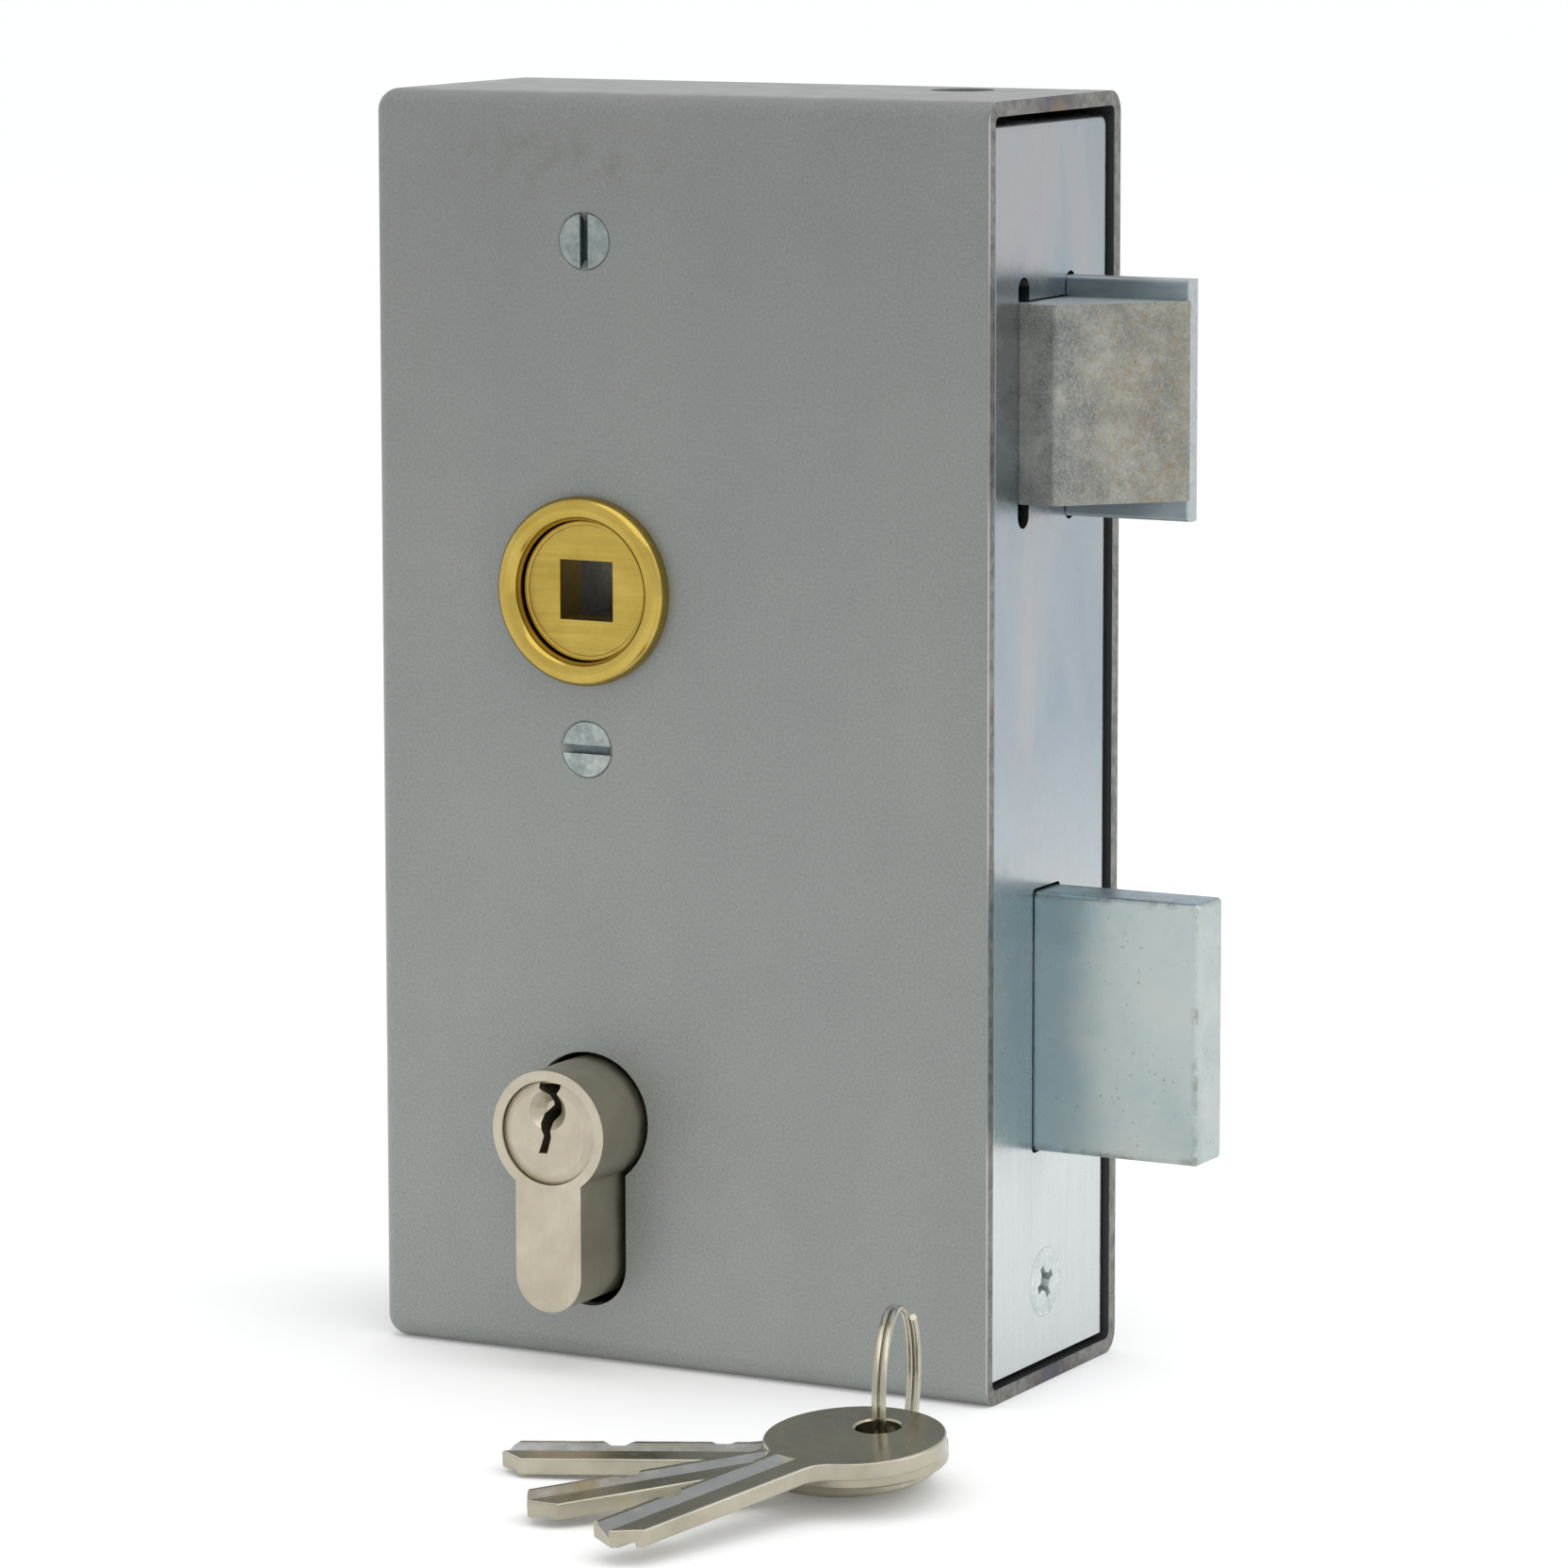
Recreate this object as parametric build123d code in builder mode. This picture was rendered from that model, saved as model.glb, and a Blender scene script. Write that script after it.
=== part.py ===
"""Box-case gate lock with a sprung latch bolt, a deadbolt, a double Euro cylinder and its keys.

Millimetres. +X is the way the bolts are thrown, -Y is the front face with the cylinder and
the spindle bush, +Z is up. The origin is the middle of the case's bottom face.
"""

from build123d import *
from math import cos, radians, sin, tan
import os

os.makedirs("parts", exist_ok=True)

# ---- driving dimensions: case -------------------------------------------------
CASE_W = 93.0
CASE_D = 40.0
CASE_H = 172.0
WALL = 2.0
FOLD_R = 3.0
SEAM_W = 1.6
SEAM_DEEP = 0.9
TOP_HOLE_D = 8.6
TOP_HOLE_X = 28.3
TOP_HOLE_Y = 9.1

X_END = CASE_W / 2
X_REAR = -X_END
Y_FRONT = -CASE_D / 2
Y_BACK = CASE_D / 2
Y_IN_FRONT = Y_FRONT + WALL

# ---- driving dimensions: lock mechanism ---------------------------------------
AXIS_X = -13.5
SPINDLE_Z = 105.5
CYL_Z = 33.5
CASE_SCREW_Z = (152.3, 84.0)
PLATE_T = 2.5
FOREND_X = 43.5
FOREND_Y = (-17.9, 17.3)
FOREND_Z = (3.0, 169.0)
BASE_Y = (-17.9, -15.4)
COVER_Y = (12.9, 15.4)
PILLAR_D = 7.0
PILLAR_PLACES = ((-13.5, 152.3), (-13.5, 84.0), (37.0, 160.5), (37.0, 92.0), (37.0, 23.0),
                 (-38.0, 160.5), (-38.0, 14.0))
COVER_SCREW_PLACES = PILLAR_PLACES[2:]
SCREW_SHANK_D = 4.0

# ---- driving dimensions: latch -------------------------------------------------
LATCH_Z = 132.2
LATCH_THROW = 18.0
LATCH_BLOCK_X = (22.0, 51.3)
LATCH_NOSE_X = 64.1
LATCH_BLOCK_Y = (-10.0, 4.2)
LATCH_BLOCK_H = 26.3
LATCH_PLATE_T = 2.7
LATCH_PLATE_H = 32.0
ROD_D = 5.0
ROD_Y = -3.0
ROD_Z = 132.0
BRACKET_X = (-12.0, -10.0)
SPRING_WIRE = 1.0
SPRING_D = 8.0

# ---- driving dimensions: deadbolt ----------------------------------------------
BOLT_Z = (32.0, 67.0)
BOLT_Y = (-4.9, 2.8)
BOLT_TIP_X = 70.0
BOLT_BACK_X = 25.5
BOLT_THROW = 23.0
TAIL_X = -20.5
TAIL_Y = (-3.0, 1.0)
TAIL_Z = (44.0, 64.0)

# ---- driving dimensions: follower and bushes -----------------------------------
BUSH_FLANGE_D = 25.6
BUSH_BARREL_D = 22.0
BUSH_BORE_D = 19.4
BUSH_PROUD = 2.4
BUSH_CREST_D = 23.0
BUSH_SIDE = 0.9
BUSH_LIP = 0.3
DISC_D = 19.0
SQUARE = 8.1
HUB_D = 16.0
ARM_Y = (3.5, 7.5)
ARM_R = 26.3
ARM_TIP_R = 3.0
ARM_REST_DEG = 20.0

# ---- driving dimensions: Euro cylinder -----------------------------------------
CYL_HEAD_D = 17.0
CYL_LEG_W = 10.0
CYL_HIGH = 33.0
CYL_Y = (-31.0, 29.0)
CYL_MID_Y = -1.0
CAM_GAP = 10.0
CAM_T = 7.6
CAM_R = 15.0
CAM_REST_DEG = 240.0
PLUG_D = 13.0
PLUG_HEAD_D = 14.0
PLUG_HEAD_T = 1.5
PIN_D = 2.7
CHAMBER_D = 2.8
PIN_PITCH = 4.0
PIN_COUNT = 5
FIRST_PIN = 6.5
FIX_SCREW_Z = 13.5
FIX_SCREW_HEAD_D = 9.3

# ---- driving dimensions: keys and ring -----------------------------------------
KEY_T = 2.2
KEY_STEP = 2.45
KEY_TILT = 5.2
BOW_D = 23.0
BOW_HOLE_D = 5.8
BOW_OFFSET = 4.3
BLADE_W = 7.4
KEY_TIP = 48.5
RING_WIRE = 0.9
RING_R = 10.3
RING_PLACE = (51.5, -56.0, 10.96)
RING_FACES_DEG = 15.7
RING_END_DEG = 25.0

# ---- small allowances ----------------------------------------------------------
FIT = 0.05
PIN_PLAY = 0.2
BOLT_PLAY = 0.7


def at_y(y):
    """A plane facing -Y at the height y, with local x along X and local y along Z."""
    return Plane.XZ.offset(-y)


def at_x(x):
    """A plane facing +X at x, with local x along Y and local y along Z."""
    return Plane.YZ.offset(x)


def span(pair):
    return pair[1] - pair[0]


def middle(pair):
    return (pair[0] + pair[1]) / 2


def on_circle(radius, degrees):
    return (radius * cos(radians(degrees)), radius * sin(radians(degrees)))


# ---- case ----------------------------------------------------------------------
EURO_GAP = 0.75
EURO_GAP_BELOW = 0.5
CASE_HEAD_D = 7.6
CASE_HEAD_SUNK = 0.1
CASE_HEAD_EDGE = 0.1


def euro_outline(grow, lower=0.0):
    """The keyhole-shaped outline of the cylinder, drawn about its axis."""
    head_r = CYL_HEAD_D / 2 + grow
    leg_r = CYL_LEG_W / 2 + grow
    leg_bottom = CYL_HEAD_D / 2 - CYL_HIGH - grow - lower
    Circle(head_r)
    with Locations((0, (leg_bottom + leg_r) / 2)):
        Rectangle(2 * leg_r, -(leg_bottom + leg_r))
    with Locations((0, leg_bottom + leg_r)):
        Circle(leg_r)


def wall_openings(y_outer, thickness):
    """The cylinder cut-out and the spindle hole, cut through one wall."""
    with BuildSketch(at_y(y_outer)) as holes:
        with Locations((AXIS_X, CYL_Z)):
            euro_outline(EURO_GAP, EURO_GAP_BELOW)
        with Locations((AXIS_X, SPINDLE_Z)):
            Circle(BUSH_BARREL_D / 2)
    extrude(holes.sketch, amount=thickness, mode=Mode.SUBTRACT)


def folded_case():
    """The whole tube-like case: closed at the top, bottom and rear end, open at the forend."""
    with Locations((0, 0, CASE_H / 2)):
        Box(CASE_W, CASE_D, CASE_H)
    open_edges = edges().group_by(Axis.X)[-1]
    fillet([e for e in edges() if e not in open_edges], FOLD_R)
    offset(amount=-WALL, openings=faces().sort_by(Axis.X)[-1])


def seam_groove():
    """The path of the weld along the top, the rear end and the bottom."""
    with BuildSketch(at_y(SEAM_W / 2)) as groove:
        with BuildLine():
            Polyline(
                (X_END, 0), (X_REAR, 0), (X_REAR, CASE_H), (X_END, CASE_H),
                (X_END, CASE_H - SEAM_DEEP), (X_REAR + SEAM_DEEP, CASE_H - SEAM_DEEP),
                (X_REAR + SEAM_DEEP, SEAM_DEEP), (X_END, SEAM_DEEP), close=True,
            )
        make_face()
        corners = vertices().group_by(Axis.X)[0]
        inner = vertices().group_by(Axis.X)[1]
        fillet(corners, FOLD_R)
        fillet(inner, FOLD_R - SEAM_DEEP)
    return groove.sketch


with BuildPart() as case_front_shell:
    folded_case()
    split(bisect_by=Plane.XZ, keep=Keep.TOP)
    extrude(seam_groove(), amount=SEAM_W, mode=Mode.SUBTRACT)
    wall_openings(Y_IN_FRONT, WALL)
    for z in CASE_SCREW_Z:
        with Locations(Plane(origin=(AXIS_X, Y_FRONT, z), x_dir=(1, 0, 0), z_dir=(0, -1, 0))):
            sink_r = CASE_HEAD_D / 2 + CASE_HEAD_SUNK + CASE_HEAD_EDGE + FIT
            CounterSinkHole(SCREW_SHANK_D / 2 + FIT, sink_r, depth=WALL, counter_sink_angle=90)
case_front_shell.part.label = "case_front_shell"
export_step(case_front_shell.part, "parts/case_front_shell.step")

with BuildPart() as case_rear_shell:
    folded_case()
    split(bisect_by=Plane.XZ, keep=Keep.BOTTOM)
    extrude(seam_groove(), amount=SEAM_W, mode=Mode.SUBTRACT)
    wall_openings(Y_BACK, WALL)
    with Locations((TOP_HOLE_X, TOP_HOLE_Y, CASE_H)):
        Hole(TOP_HOLE_D / 2, depth=WALL)
case_rear_shell.part.label = "case_rear_shell"
export_step(case_rear_shell.part, "parts/case_rear_shell.step")

with BuildPart() as case_weld_seam:
    extrude(seam_groove(), amount=SEAM_W)
case_weld_seam.part.label = "case_weld_seam"
export_step(case_weld_seam.part, "parts/case_weld_seam.step")

# ---- chassis: forend and base plate in one bent sheet ---------------------------
LATCH_SLOT_W = 3.3
LATCH_OPENING_Y = (-10.15, 7.25)
BASE_REAR_X = -43.5
BEND_R = 1.2
FOREND_CORNER_R = 1.5
LATCH_PLAY = 0.6
SLOT_PLAY = 1.0
BOLT_HOLE_R = 0.8
FIX_SCREW_D = 5.0

with BuildPart() as lock_chassis:
    with BuildSketch(at_x(FOREND_X)):
        with Locations((middle(FOREND_Y), middle(FOREND_Z))):
            Rectangle(span(FOREND_Y), span(FOREND_Z))
        fillet(vertices().group_by(Axis.Y)[-1], FOREND_CORNER_R)
    extrude(amount=PLATE_T)
    with BuildSketch(at_y(BASE_Y[1])):
        with Locations(((BASE_REAR_X + FOREND_X) / 2, middle(FOREND_Z))):
            Rectangle(FOREND_X - BASE_REAR_X, span(FOREND_Z))
    extrude(amount=PLATE_T)
    bend = edges().filter_by(Axis.Z).sort_by(lambda e: e.center().Y - e.center().X)[0]
    fillet(bend, BEND_R)
    with BuildSketch(at_x(FOREND_X)):
        with Locations((middle(LATCH_OPENING_Y), LATCH_Z)):
            Rectangle(span(LATCH_OPENING_Y), LATCH_BLOCK_H + LATCH_PLAY)
        for y in (LATCH_OPENING_Y[0] + LATCH_SLOT_W / 2, LATCH_OPENING_Y[1] - LATCH_SLOT_W / 2):
            with Locations((y, LATCH_Z)):
                SlotOverall(LATCH_PLATE_H + SLOT_PLAY, LATCH_SLOT_W, rotation=90)
        with Locations((middle(BOLT_Y), middle(BOLT_Z))):
            RectangleRounded(span(BOLT_Y) + BOLT_PLAY, span(BOLT_Z) + BOLT_PLAY, BOLT_HOLE_R)
    extrude(amount=PLATE_T, mode=Mode.SUBTRACT)
    with Locations(Plane(origin=(FOREND_X + PLATE_T, CYL_MID_Y, FIX_SCREW_Z), z_dir=(1, 0, 0))):
        CounterSinkHole(
            FIX_SCREW_D / 2 + 2 * FIT, FIX_SCREW_HEAD_D / 2 + FIT, depth=PLATE_T,
            counter_sink_angle=90,
        )
    wall_openings(BASE_Y[1], PLATE_T)
    with BuildSketch(at_y(BASE_Y[1])):
        with Locations(*[(AXIS_X, z) for z in CASE_SCREW_Z]):
            Circle(SCREW_SHANK_D / 2 + FIT)
    extrude(amount=PLATE_T, mode=Mode.SUBTRACT)
lock_chassis.part.label = "lock_chassis"
export_step(lock_chassis.part, "parts/lock_chassis.step")

COVER_X = (-43.5, 43.0)
COVER_CORNER_R = 2.0
COVER_SCREW_D = 3.0

with BuildPart() as chassis_cover_plate:
    with BuildSketch(at_y(COVER_Y[1])):
        with Locations((middle(COVER_X), middle(FOREND_Z))):
            RectangleRounded(span(COVER_X), span(FOREND_Z), COVER_CORNER_R)
        with Locations(*COVER_SCREW_PLACES):
            Circle(COVER_SCREW_D / 2 + FIT, mode=Mode.SUBTRACT)
    extrude(amount=PLATE_T)
    wall_openings(COVER_Y[1], PLATE_T)
chassis_cover_plate.part.label = "chassis_cover_plate"
export_step(chassis_cover_plate.part, "parts/chassis_cover_plate.step")

PILLAR_TAP = 10.0

with BuildPart() as chassis_pillars:
    with BuildSketch(at_y(COVER_Y[0])):
        with Locations(*PILLAR_PLACES):
            Circle(PILLAR_D / 2)
    extrude(amount=COVER_Y[0] - BASE_Y[1])
    with BuildSketch(at_y(BASE_Y[1] + PILLAR_TAP)):
        with Locations(*PILLAR_PLACES[:2]):
            Circle(SCREW_SHANK_D / 2 + FIT)
    extrude(amount=PILLAR_TAP, mode=Mode.SUBTRACT)
    with BuildSketch(at_y(COVER_Y[0])):
        with Locations(*COVER_SCREW_PLACES):
            Circle(COVER_SCREW_D / 2 + FIT)
    extrude(amount=PILLAR_TAP, mode=Mode.SUBTRACT)
chassis_pillars.part.label = "chassis_pillars"
export_step(chassis_pillars.part, "parts/chassis_pillars.step")

COVER_HEAD_D = 5.6
COVER_HEAD_T = 1.5
COVER_CROSS_W = 0.8
COVER_CROSS_DEEP = 0.7

with BuildPart() as cover_screws:
    with BuildSketch(at_y(COVER_Y[1])):
        with Locations(*COVER_SCREW_PLACES):
            Circle(COVER_SCREW_D / 2)
    extrude(amount=PLATE_T + PILLAR_TAP - 1)
    with BuildSketch(at_y(COVER_Y[1])):
        with Locations(*COVER_SCREW_PLACES):
            Circle(COVER_HEAD_D / 2)
    extrude(amount=-COVER_HEAD_T)
    with BuildSketch(at_y(COVER_Y[1] + COVER_HEAD_T)):
        with Locations(*COVER_SCREW_PLACES):
            Rectangle(COVER_HEAD_D, COVER_CROSS_W)
            Rectangle(COVER_CROSS_W, COVER_HEAD_D)
    extrude(amount=COVER_CROSS_DEEP, mode=Mode.SUBTRACT)
cover_screws.part.label = "cover_screws"
export_step(cover_screws.part, "parts/cover_screws.step")

CASE_SLOT_W = 1.2
CASE_SLOT_DEEP = 1.25
CASE_SCREW_LONG = 11.5
CASE_HEAD_Y = Y_FRONT + CASE_HEAD_SUNK

with BuildPart() as case_screws:
    for z, slot_turn in zip(CASE_SCREW_Z, (90, 0)):
        head_r = CASE_HEAD_D / 2
        shank_r = SCREW_SHANK_D / 2
        head_t = CASE_HEAD_EDGE + head_r - shank_r
        half_plane = Plane(origin=(AXIS_X, CASE_HEAD_Y, z), x_dir=(1, 0, 0), z_dir=(0, 0, 1))
        with BuildSketch(half_plane):
            with BuildLine():
                Polyline(
                    (0, 0), (head_r - CASE_HEAD_EDGE, 0), (head_r, CASE_HEAD_EDGE),
                    (shank_r, head_t), (shank_r, CASE_SCREW_LONG), (0, CASE_SCREW_LONG), close=True,
                )
            make_face()
        revolve(axis=Axis((AXIS_X, 0, z), (0, 1, 0)))
        with BuildSketch(at_y(CASE_HEAD_Y)):
            with Locations((AXIS_X, z)):
                Rectangle(CASE_HEAD_D + 1, CASE_SLOT_W, rotation=slot_turn)
        extrude(amount=-CASE_SLOT_DEEP, mode=Mode.SUBTRACT)
case_screws.part.label = "case_screws"
export_step(case_screws.part, "parts/case_screws.step")


# ---- spindle bushes and follower ------------------------------------------------
def bush(y_wall, y_inner, outward):
    """A flanged bush: its flange is a domed ring on the wall, its barrel reaches the plate."""
    section = Plane(origin=(AXIS_X, y_wall, SPINDLE_Z), x_dir=(1, 0, 0), z_dir=(0, 0, outward))
    depth = abs(y_wall - y_inner)
    with BuildSketch(section) as profile:
        with BuildLine():
            Polyline(
                (BUSH_BORE_D / 2, BUSH_LIP), (BUSH_BORE_D / 2, -depth), (BUSH_BARREL_D / 2, -depth),
                (BUSH_BARREL_D / 2, 0), (BUSH_FLANGE_D / 2, 0), (BUSH_FLANGE_D / 2, BUSH_SIDE),
            )
            ThreePointArc(
                (BUSH_FLANGE_D / 2, BUSH_SIDE), (BUSH_CREST_D / 2, BUSH_PROUD),
                (BUSH_BORE_D / 2, BUSH_LIP),
            )
        make_face()
    revolve(profile.sketch, axis=Axis((AXIS_X, 0, SPINDLE_Z), (0, 1, 0)))


with BuildPart() as front_follower_bush:
    bush(Y_FRONT, BASE_Y[1], -1)
front_follower_bush.part.label = "front_follower_bush"
export_step(front_follower_bush.part, "parts/front_follower_bush.step")

with BuildPart() as rear_follower_bush:
    bush(Y_BACK, COVER_Y[0], 1)
rear_follower_bush.part.label = "rear_follower_bush"
export_step(rear_follower_bush.part, "parts/rear_follower_bush.step")

DISC_FACE_Y = 19.7
DISC_T = 5.7
DISC_LIP = 0.3
DISC_LIP_W = 0.7

HUB_Y = (-DISC_FACE_Y + DISC_T, DISC_FACE_Y - DISC_T - 1.0)


def follower_disc(outward):
    """The brass end of the follower, with a thin lip round its face."""
    face = Plane(
        origin=(AXIS_X, outward * DISC_FACE_Y, SPINDLE_Z), x_dir=(1, 0, 0), z_dir=(0, outward, 0)
    )
    length = DISC_FACE_Y - abs(HUB_Y[0 if outward < 0 else 1])
    with BuildSketch(face) as disc:
        Circle(DISC_D / 2)
        Rectangle(SQUARE, SQUARE, mode=Mode.SUBTRACT)
    extrude(disc.sketch, amount=-length)
    with BuildSketch(face) as lip:
        Circle(DISC_D / 2)
        Circle(DISC_D / 2 - DISC_LIP_W, mode=Mode.SUBTRACT)
    extrude(lip.sketch, amount=DISC_LIP)
    crest = faces().filter_by(Axis.Y).sort_by(Axis.Y)[0 if outward < 0 else -1]
    fillet(crest.edges(), DISC_LIP * 0.8)


with BuildPart() as follower_disc_front:
    follower_disc(-1)
follower_disc_front.part.label = "follower_disc_front"
export_step(follower_disc_front.part, "parts/follower_disc_front.step")

with BuildPart() as follower_disc_rear:
    follower_disc(1)
follower_disc_rear.part.label = "follower_disc_rear"
export_step(follower_disc_rear.part, "parts/follower_disc_rear.step")

ARM_ROOT_HALF = 4.5
ARM_NECK_HALF = 1.6

with BuildPart() as follower:
    with BuildSketch(at_y(HUB_Y[1])):
        with Locations((AXIS_X, SPINDLE_Z)):
            Circle(HUB_D / 2)
    extrude(amount=span(HUB_Y))
    arm_plane = Plane(
        origin=(AXIS_X, ARM_Y[1], SPINDLE_Z),
        x_dir=(cos(radians(ARM_REST_DEG)), 0, -sin(radians(ARM_REST_DEG))),
        z_dir=(0, -1, 0),
    )
    with BuildSketch(arm_plane):
        with BuildLine():
            Polyline(
                (-ARM_ROOT_HALF, 0), (ARM_ROOT_HALF, 0), (ARM_NECK_HALF, ARM_R),
                (-ARM_NECK_HALF, ARM_R), close=True,
            )
        make_face()
        with Locations((0, ARM_R)):
            Circle(ARM_TIP_R)
    extrude(amount=span(ARM_Y))
    with BuildSketch(at_y(HUB_Y[1])):
        with Locations((AXIS_X, SPINDLE_Z)):
            Rectangle(SQUARE, SQUARE)
    extrude(amount=span(HUB_Y), mode=Mode.SUBTRACT)
follower.part.label = "follower"
export_step(follower.part, "parts/follower.step")

TORSION_WIRE = 1.6
TORSION_R = 10.2
TORSION_TURNS = 3.25
TORSION_PITCH = 1.9
TORSION_Y = -12.0


def wire_coil(start_plane, pitch, turns, radius, wire):
    """A coil of round wire about the plane's normal, starting on the plane's own x axis."""
    path = start_plane.location * Helix(pitch, pitch * turns, radius, mode=Mode.PRIVATE)
    with BuildSketch(Plane(origin=path @ 0, z_dir=path % 0)) as section:
        Circle(wire / 2)
    sweep(section.sketch, path=path, is_frenet=True)


torsion_axis = Plane(
    origin=(AXIS_X, TORSION_Y, SPINDLE_Z), x_dir=(0, 0, 1), z_dir=(0, 1, 0)
)
with BuildPart() as follower_return_spring:
    wire_coil(torsion_axis, TORSION_PITCH, TORSION_TURNS, TORSION_R, TORSION_WIRE)
follower_return_spring.part.label = "follower_return_spring"
export_step(follower_return_spring.part, "parts/follower_return_spring.step")

# ---- latch ---------------------------------------------------------------------
LATCH_BLOCK_Z = (LATCH_Z - LATCH_BLOCK_H / 2, LATCH_Z + LATCH_BLOCK_H / 2)
LATCH_PLATE_Z = (LATCH_Z - LATCH_PLATE_H / 2, LATCH_Z + LATCH_PLATE_H / 2)
LATCH_PLATE_Y = (LATCH_BLOCK_Y[1], LATCH_BLOCK_Y[1] + LATCH_PLATE_T)
LATCH_TAIL_X = -16.0
LATCH_WINDOW_X = (-7.8, 17.0)
LATCH_WINDOW_TOP = 135.3
LATCH_HOOK_BOTTOM = 128.4
LATCH_STUD = (-3.0, 142.0)
LATCH_STUD_D = 6.0
RIVET_PLACES = ((29.0, 125.0), (29.0, 139.5))
RIVET_D = 5.0
ROD_TENON = 6.0
NOSE_R = 1.0
PLATE_EDGE_R = 0.5

with BuildPart() as latch_block:
    with BuildSketch(Plane.XY.offset(LATCH_BLOCK_Z[0])):
        with BuildLine():
            Polyline(
                (LATCH_BLOCK_X[0], LATCH_BLOCK_Y[0]), (LATCH_BLOCK_X[1], LATCH_BLOCK_Y[0]),
                (LATCH_NOSE_X, LATCH_BLOCK_Y[1]), (LATCH_BLOCK_X[0], LATCH_BLOCK_Y[1]),
                close=True,
            )
        make_face()
        fillet(vertices().sort_by(Axis.Y)[:2].sort_by(Axis.X)[-1], NOSE_R)
    extrude(amount=LATCH_BLOCK_H)
    with BuildSketch(at_x(LATCH_BLOCK_X[0])):
        with Locations((ROD_Y, ROD_Z)):
            Circle(ROD_D / 2 + FIT)
    extrude(amount=ROD_TENON, mode=Mode.SUBTRACT)
    with BuildSketch(at_y(LATCH_BLOCK_Y[1])):
        with Locations(*RIVET_PLACES):
            Circle(RIVET_D / 2 + FIT)
    extrude(amount=span(LATCH_BLOCK_Y), mode=Mode.SUBTRACT)
latch_block.part.label = "latch_block"
export_step(latch_block.part, "parts/latch_block.step")

with BuildPart() as latch_plate:
    with BuildSketch(at_y(LATCH_PLATE_Y[1])):
        with BuildLine():
            Polyline(
                (LATCH_NOSE_X, LATCH_PLATE_Z[0]), (LATCH_NOSE_X, LATCH_PLATE_Z[1]),
                (LATCH_TAIL_X, LATCH_PLATE_Z[1]), (LATCH_TAIL_X, LATCH_HOOK_BOTTOM),
                (LATCH_WINDOW_X[0], LATCH_HOOK_BOTTOM), (LATCH_WINDOW_X[0], LATCH_WINDOW_TOP),
                (LATCH_WINDOW_X[1], LATCH_WINDOW_TOP), (LATCH_WINDOW_X[1], LATCH_PLATE_Z[0]),
                close=True,
            )
        make_face()
        slot_from = LATCH_STUD[0] - LATCH_STUD_D / 2 - PIN_PLAY
        slot_to = LATCH_STUD[0] + LATCH_THROW + LATCH_STUD_D / 2 + PIN_PLAY
        with Locations(((slot_from + slot_to) / 2, LATCH_STUD[1])):
            SlotOverall(slot_to - slot_from, LATCH_STUD_D + 2 * PIN_PLAY, mode=Mode.SUBTRACT)
        with Locations(*RIVET_PLACES):
            Circle(RIVET_D / 2 + FIT, mode=Mode.SUBTRACT)
    extrude(amount=LATCH_PLATE_T)
    long_edges = edges().filter_by(Axis.X).group_by(Axis.Z)
    nose_edges = edges().filter_by(Axis.Z).group_by(Axis.X)[-1]
    fillet(long_edges[0] + long_edges[-1] + nose_edges, PLATE_EDGE_R)
latch_plate.part.label = "latch_plate"
export_step(latch_plate.part, "parts/latch_plate.step")

with BuildPart() as latch_rivets:
    with BuildSketch(at_y(LATCH_PLATE_Y[1])):
        with Locations(*RIVET_PLACES):
            Circle(RIVET_D / 2)
    extrude(amount=LATCH_PLATE_Y[1] - LATCH_BLOCK_Y[0])
latch_rivets.part.label = "latch_rivets"
export_step(latch_rivets.part, "parts/latch_rivets.step")

ROD_BACK_X = -14.0
ROD_CHAMFER = 0.6

with BuildPart() as latch_spring_rod:
    with BuildSketch(at_x(ROD_BACK_X)):
        with Locations((ROD_Y, ROD_Z)):
            Circle(ROD_D / 2)
    extrude(amount=LATCH_BLOCK_X[0] + ROD_TENON - ROD_BACK_X)
    chamfer(faces().sort_by(Axis.X)[0].edges(), ROD_CHAMFER)
latch_spring_rod.part.label = "latch_spring_rod"
export_step(latch_spring_rod.part, "parts/latch_spring_rod.step")

LATCH_SPRING_TURNS = 7
spring_axis = Plane(
    origin=(BRACKET_X[1] + SPRING_WIRE / 2 + FIT, ROD_Y, ROD_Z), x_dir=(0, 0, 1), z_dir=(1, 0, 0)
)
spring_span = LATCH_BLOCK_X[0] - BRACKET_X[1] - SPRING_WIRE - 2 * FIT
with BuildPart() as latch_spring:
    wire_coil(
        spring_axis, spring_span / LATCH_SPRING_TURNS, LATCH_SPRING_TURNS, SPRING_D / 2,
        SPRING_WIRE,
    )
latch_spring.part.label = "latch_spring"
export_step(latch_spring.part, "parts/latch_spring.step")

BRACKET_Z = (124.0, 140.0)
BRACKET_TOP_Y = 2.0
BRACKET_FOOT_X = -24.0

with BuildPart() as latch_spring_bracket:
    with BuildSketch(Plane.XY.offset(BRACKET_Z[0])):
        with BuildLine():
            Polyline(
                (BRACKET_X[1], BASE_Y[1]), (BRACKET_X[1], BRACKET_TOP_Y),
                (BRACKET_X[0], BRACKET_TOP_Y), (BRACKET_X[0], BASE_Y[1] + WALL),
                (BRACKET_FOOT_X, BASE_Y[1] + WALL), (BRACKET_FOOT_X, BASE_Y[1]),
                close=True,
            )
        make_face()
    extrude(amount=span(BRACKET_Z))
    with BuildSketch(at_x(BRACKET_X[0])):
        with Locations((ROD_Y, ROD_Z)):
            Circle(ROD_D / 2 + PIN_PLAY)
    extrude(amount=span(BRACKET_X), mode=Mode.SUBTRACT)
latch_spring_bracket.part.label = "latch_spring_bracket"
export_step(latch_spring_bracket.part, "parts/latch_spring_bracket.step")

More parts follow.
